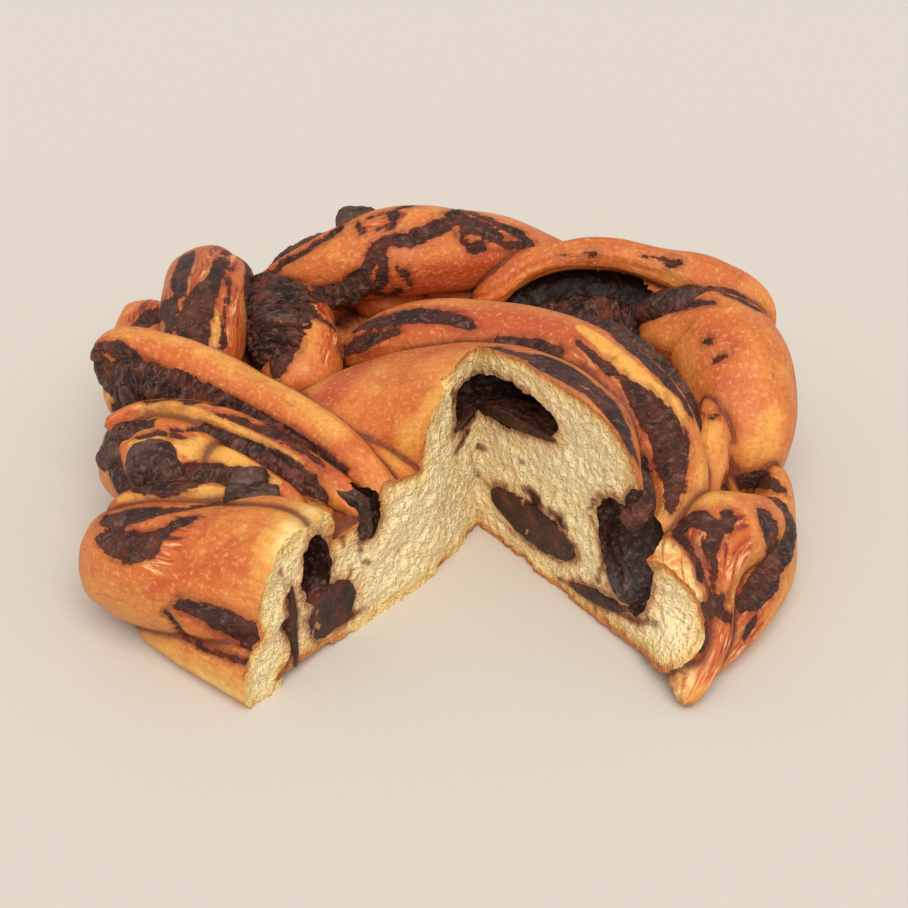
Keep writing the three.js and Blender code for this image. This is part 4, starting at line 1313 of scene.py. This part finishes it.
def lump(name, stations, seed):
    """A lump or stick of baking chocolate: a block with worn round edges and a dull rough skin."""
    rows = np.array(stations, float)
    ends = rows[[0, -1], :3] - MIDDLE
    wide, deep = rows[:, 3:5].mean(0)
    along = ends[1] - ends[0]
    half = np.linalg.norm(along) / 2
    along /= 2 * half
    side = np.cross(along, UP)
    side /= np.linalg.norm(side)
    out = np.cross(side, along)
    bm = bmesh.new()
    bmesh.ops.create_cube(bm, size=2)
    bmesh.ops.scale(bm, verts=bm.verts, vec=(half, wide * LUMP_FULL, deep * LUMP_FULL))
    worn = STICK_WORN if name.startswith("stick") else LUMP_WORN
    bmesh.ops.bevel(
        bm, geom=bm.edges, offset=min(half, wide, deep) * worn, segments=4, profile=0.5,
        affect="EDGES", material=-1, clamp_overlap=True,
    )
    bmesh.ops.triangulate(bm, faces=bm.faces)
    for _ in range(5):
        long = [e for e in bm.edges if e.calc_length() > LUMP_GRAIN]
        bmesh.ops.subdivide_edges(bm, edges=long, cuts=1, use_grid_fill=True)
        bmesh.ops.triangulate(bm, faces=[f for f in bm.faces if len(f.verts) > 3])
    bm.normal_update()
    moves = []
    for v in bm.verts:
        p = v.co + Vector((seed * 17.3, 0, 0))
        chip = max(0.0, noise.noise(p / 4.1) - 0.2)
        moves.append(0.9 * noise.noise(p / 7) + 0.3 * noise.noise(p / 1.9) - 1.4 * chip)
    for v, move in zip(bm.verts, moves):
        v.co += v.normal * move
    middle = ends.mean(0)
    for v in bm.verts:
        v.co = Vector((middle + along * v.co.x + side * v.co.y + out * v.co.z) * MM)
    bmesh.ops.recalc_face_normals(bm, faces=bm.faces)
    for f in bm.faces:
        f.smooth = True
    return new_object(name, bm)


def trim(piece, tool):
    """Cuts piece off flush with the crumb."""
    cut = tool.copy()
    bpy.context.scene.collection.objects.link(cut)
    boolean(piece, [cut, floor_cutter()], "DIFFERENCE")
    keep_largest(piece.data)


def filling(name, stations, seed, tool):
    """One layer of chocolate."""
    made = strand(name + "_layer", stations, FINE, chocolate_relief(seed, RUFFLED.get(name, SMOOTH)))
    trim(made, tool)
    for p in made.data.polygons:
        p.use_smooth = True
    return made


def studio():
    """Soft light all round, and a very wide sun from the camera's side."""
    data = bpy.data.lights.new("window", "SUN")
    data.energy, data.angle = SUN_STRENGTH, SUN_WIDTH
    data.color = linear("#fffaf0")[:3]
    window = bpy.data.objects.new("window", data)
    window.rotation_euler = (math.pi / 2 - SUN_HEIGHT, 0, SUN_TURN)
    bpy.context.scene.collection.objects.link(window)
    world = bpy.data.worlds.new("studio")
    world.use_nodes = True
    sky = world.node_tree.nodes["Background"]
    sky.inputs["Color"].default_value = linear("#ffffff")
    sky.inputs["Strength"].default_value = FILL
    bpy.context.scene.world = world
    bpy.context.scene.view_settings.view_transform = "Standard"
    bm = bmesh.new()
    bmesh.ops.create_grid(bm, x_segments=1, y_segments=1, size=4)
    floor = new_object("floor", bm)
    floor.data.materials.append(floor_finish())


eye = camera()
studio()

choc = chocolate_finish("baked_chocolate_filling", 0.42, COCOA, 1.2, 0.6)
ruffled = chocolate_finish("ruffled_chocolate_filling", 0.36, COCOA, 2.2, 1.0)
lumps = chocolate_finish("baking_chocolate_lump", 0.6, SLATE, 0.5)
tool = cutter("tool", CHOCOLATE_PROUD, lambda at: 0.45 * noise.noise(Vector(at / 5)))
pieces = {}
for i, (name, stations) in enumerate(FILLINGS.items()):
    pieces[name] = filling(name, stations, i, tool)
    pieces[name].data.materials.append(ruffled if name in RUFFLED else choc)
for i, (name, stations) in enumerate(CHUNKS.items()):
    pieces[name] = lump(name + "_lump", stations, i)
    if name == "stick_wall":
        trim(pieces[name], tool)
    pieces[name].data.materials.append(lumps)
bpy.data.objects.remove(tool)

body = joined_dough()
whole = tree_of(body.data)
tools = [strand(name, rows, FINE, chocolate_relief(3), POCKET) for name, rows in POCKETS.items()]
tools += [cutter("wedge", 0, crumb), floor_cutter()]
boolean(body, tools, "DIFFERENCE")
keep_largest(body.data)
body.name = "brioche"
everything = bmesh.new()
for o in pieces.values():
    everything.from_mesh(o.data)
chocolate = BVHTree.FromBMesh(everything)
everything.free()
paint_dough(body, whole, chocolate, eye)
# The pockets take the darkest chocolate, partly chocolate and partly painted shade in them.
dress_dough(body, [crust(), crumb_finish(), chocolate_finish("shade_darkened_chocolate_lining", 0.42, CHOCOLATE, 0.6)])
pieces["dough"] = body

for name, piece in pieces.items():
    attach(piece, "root")
    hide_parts(name)
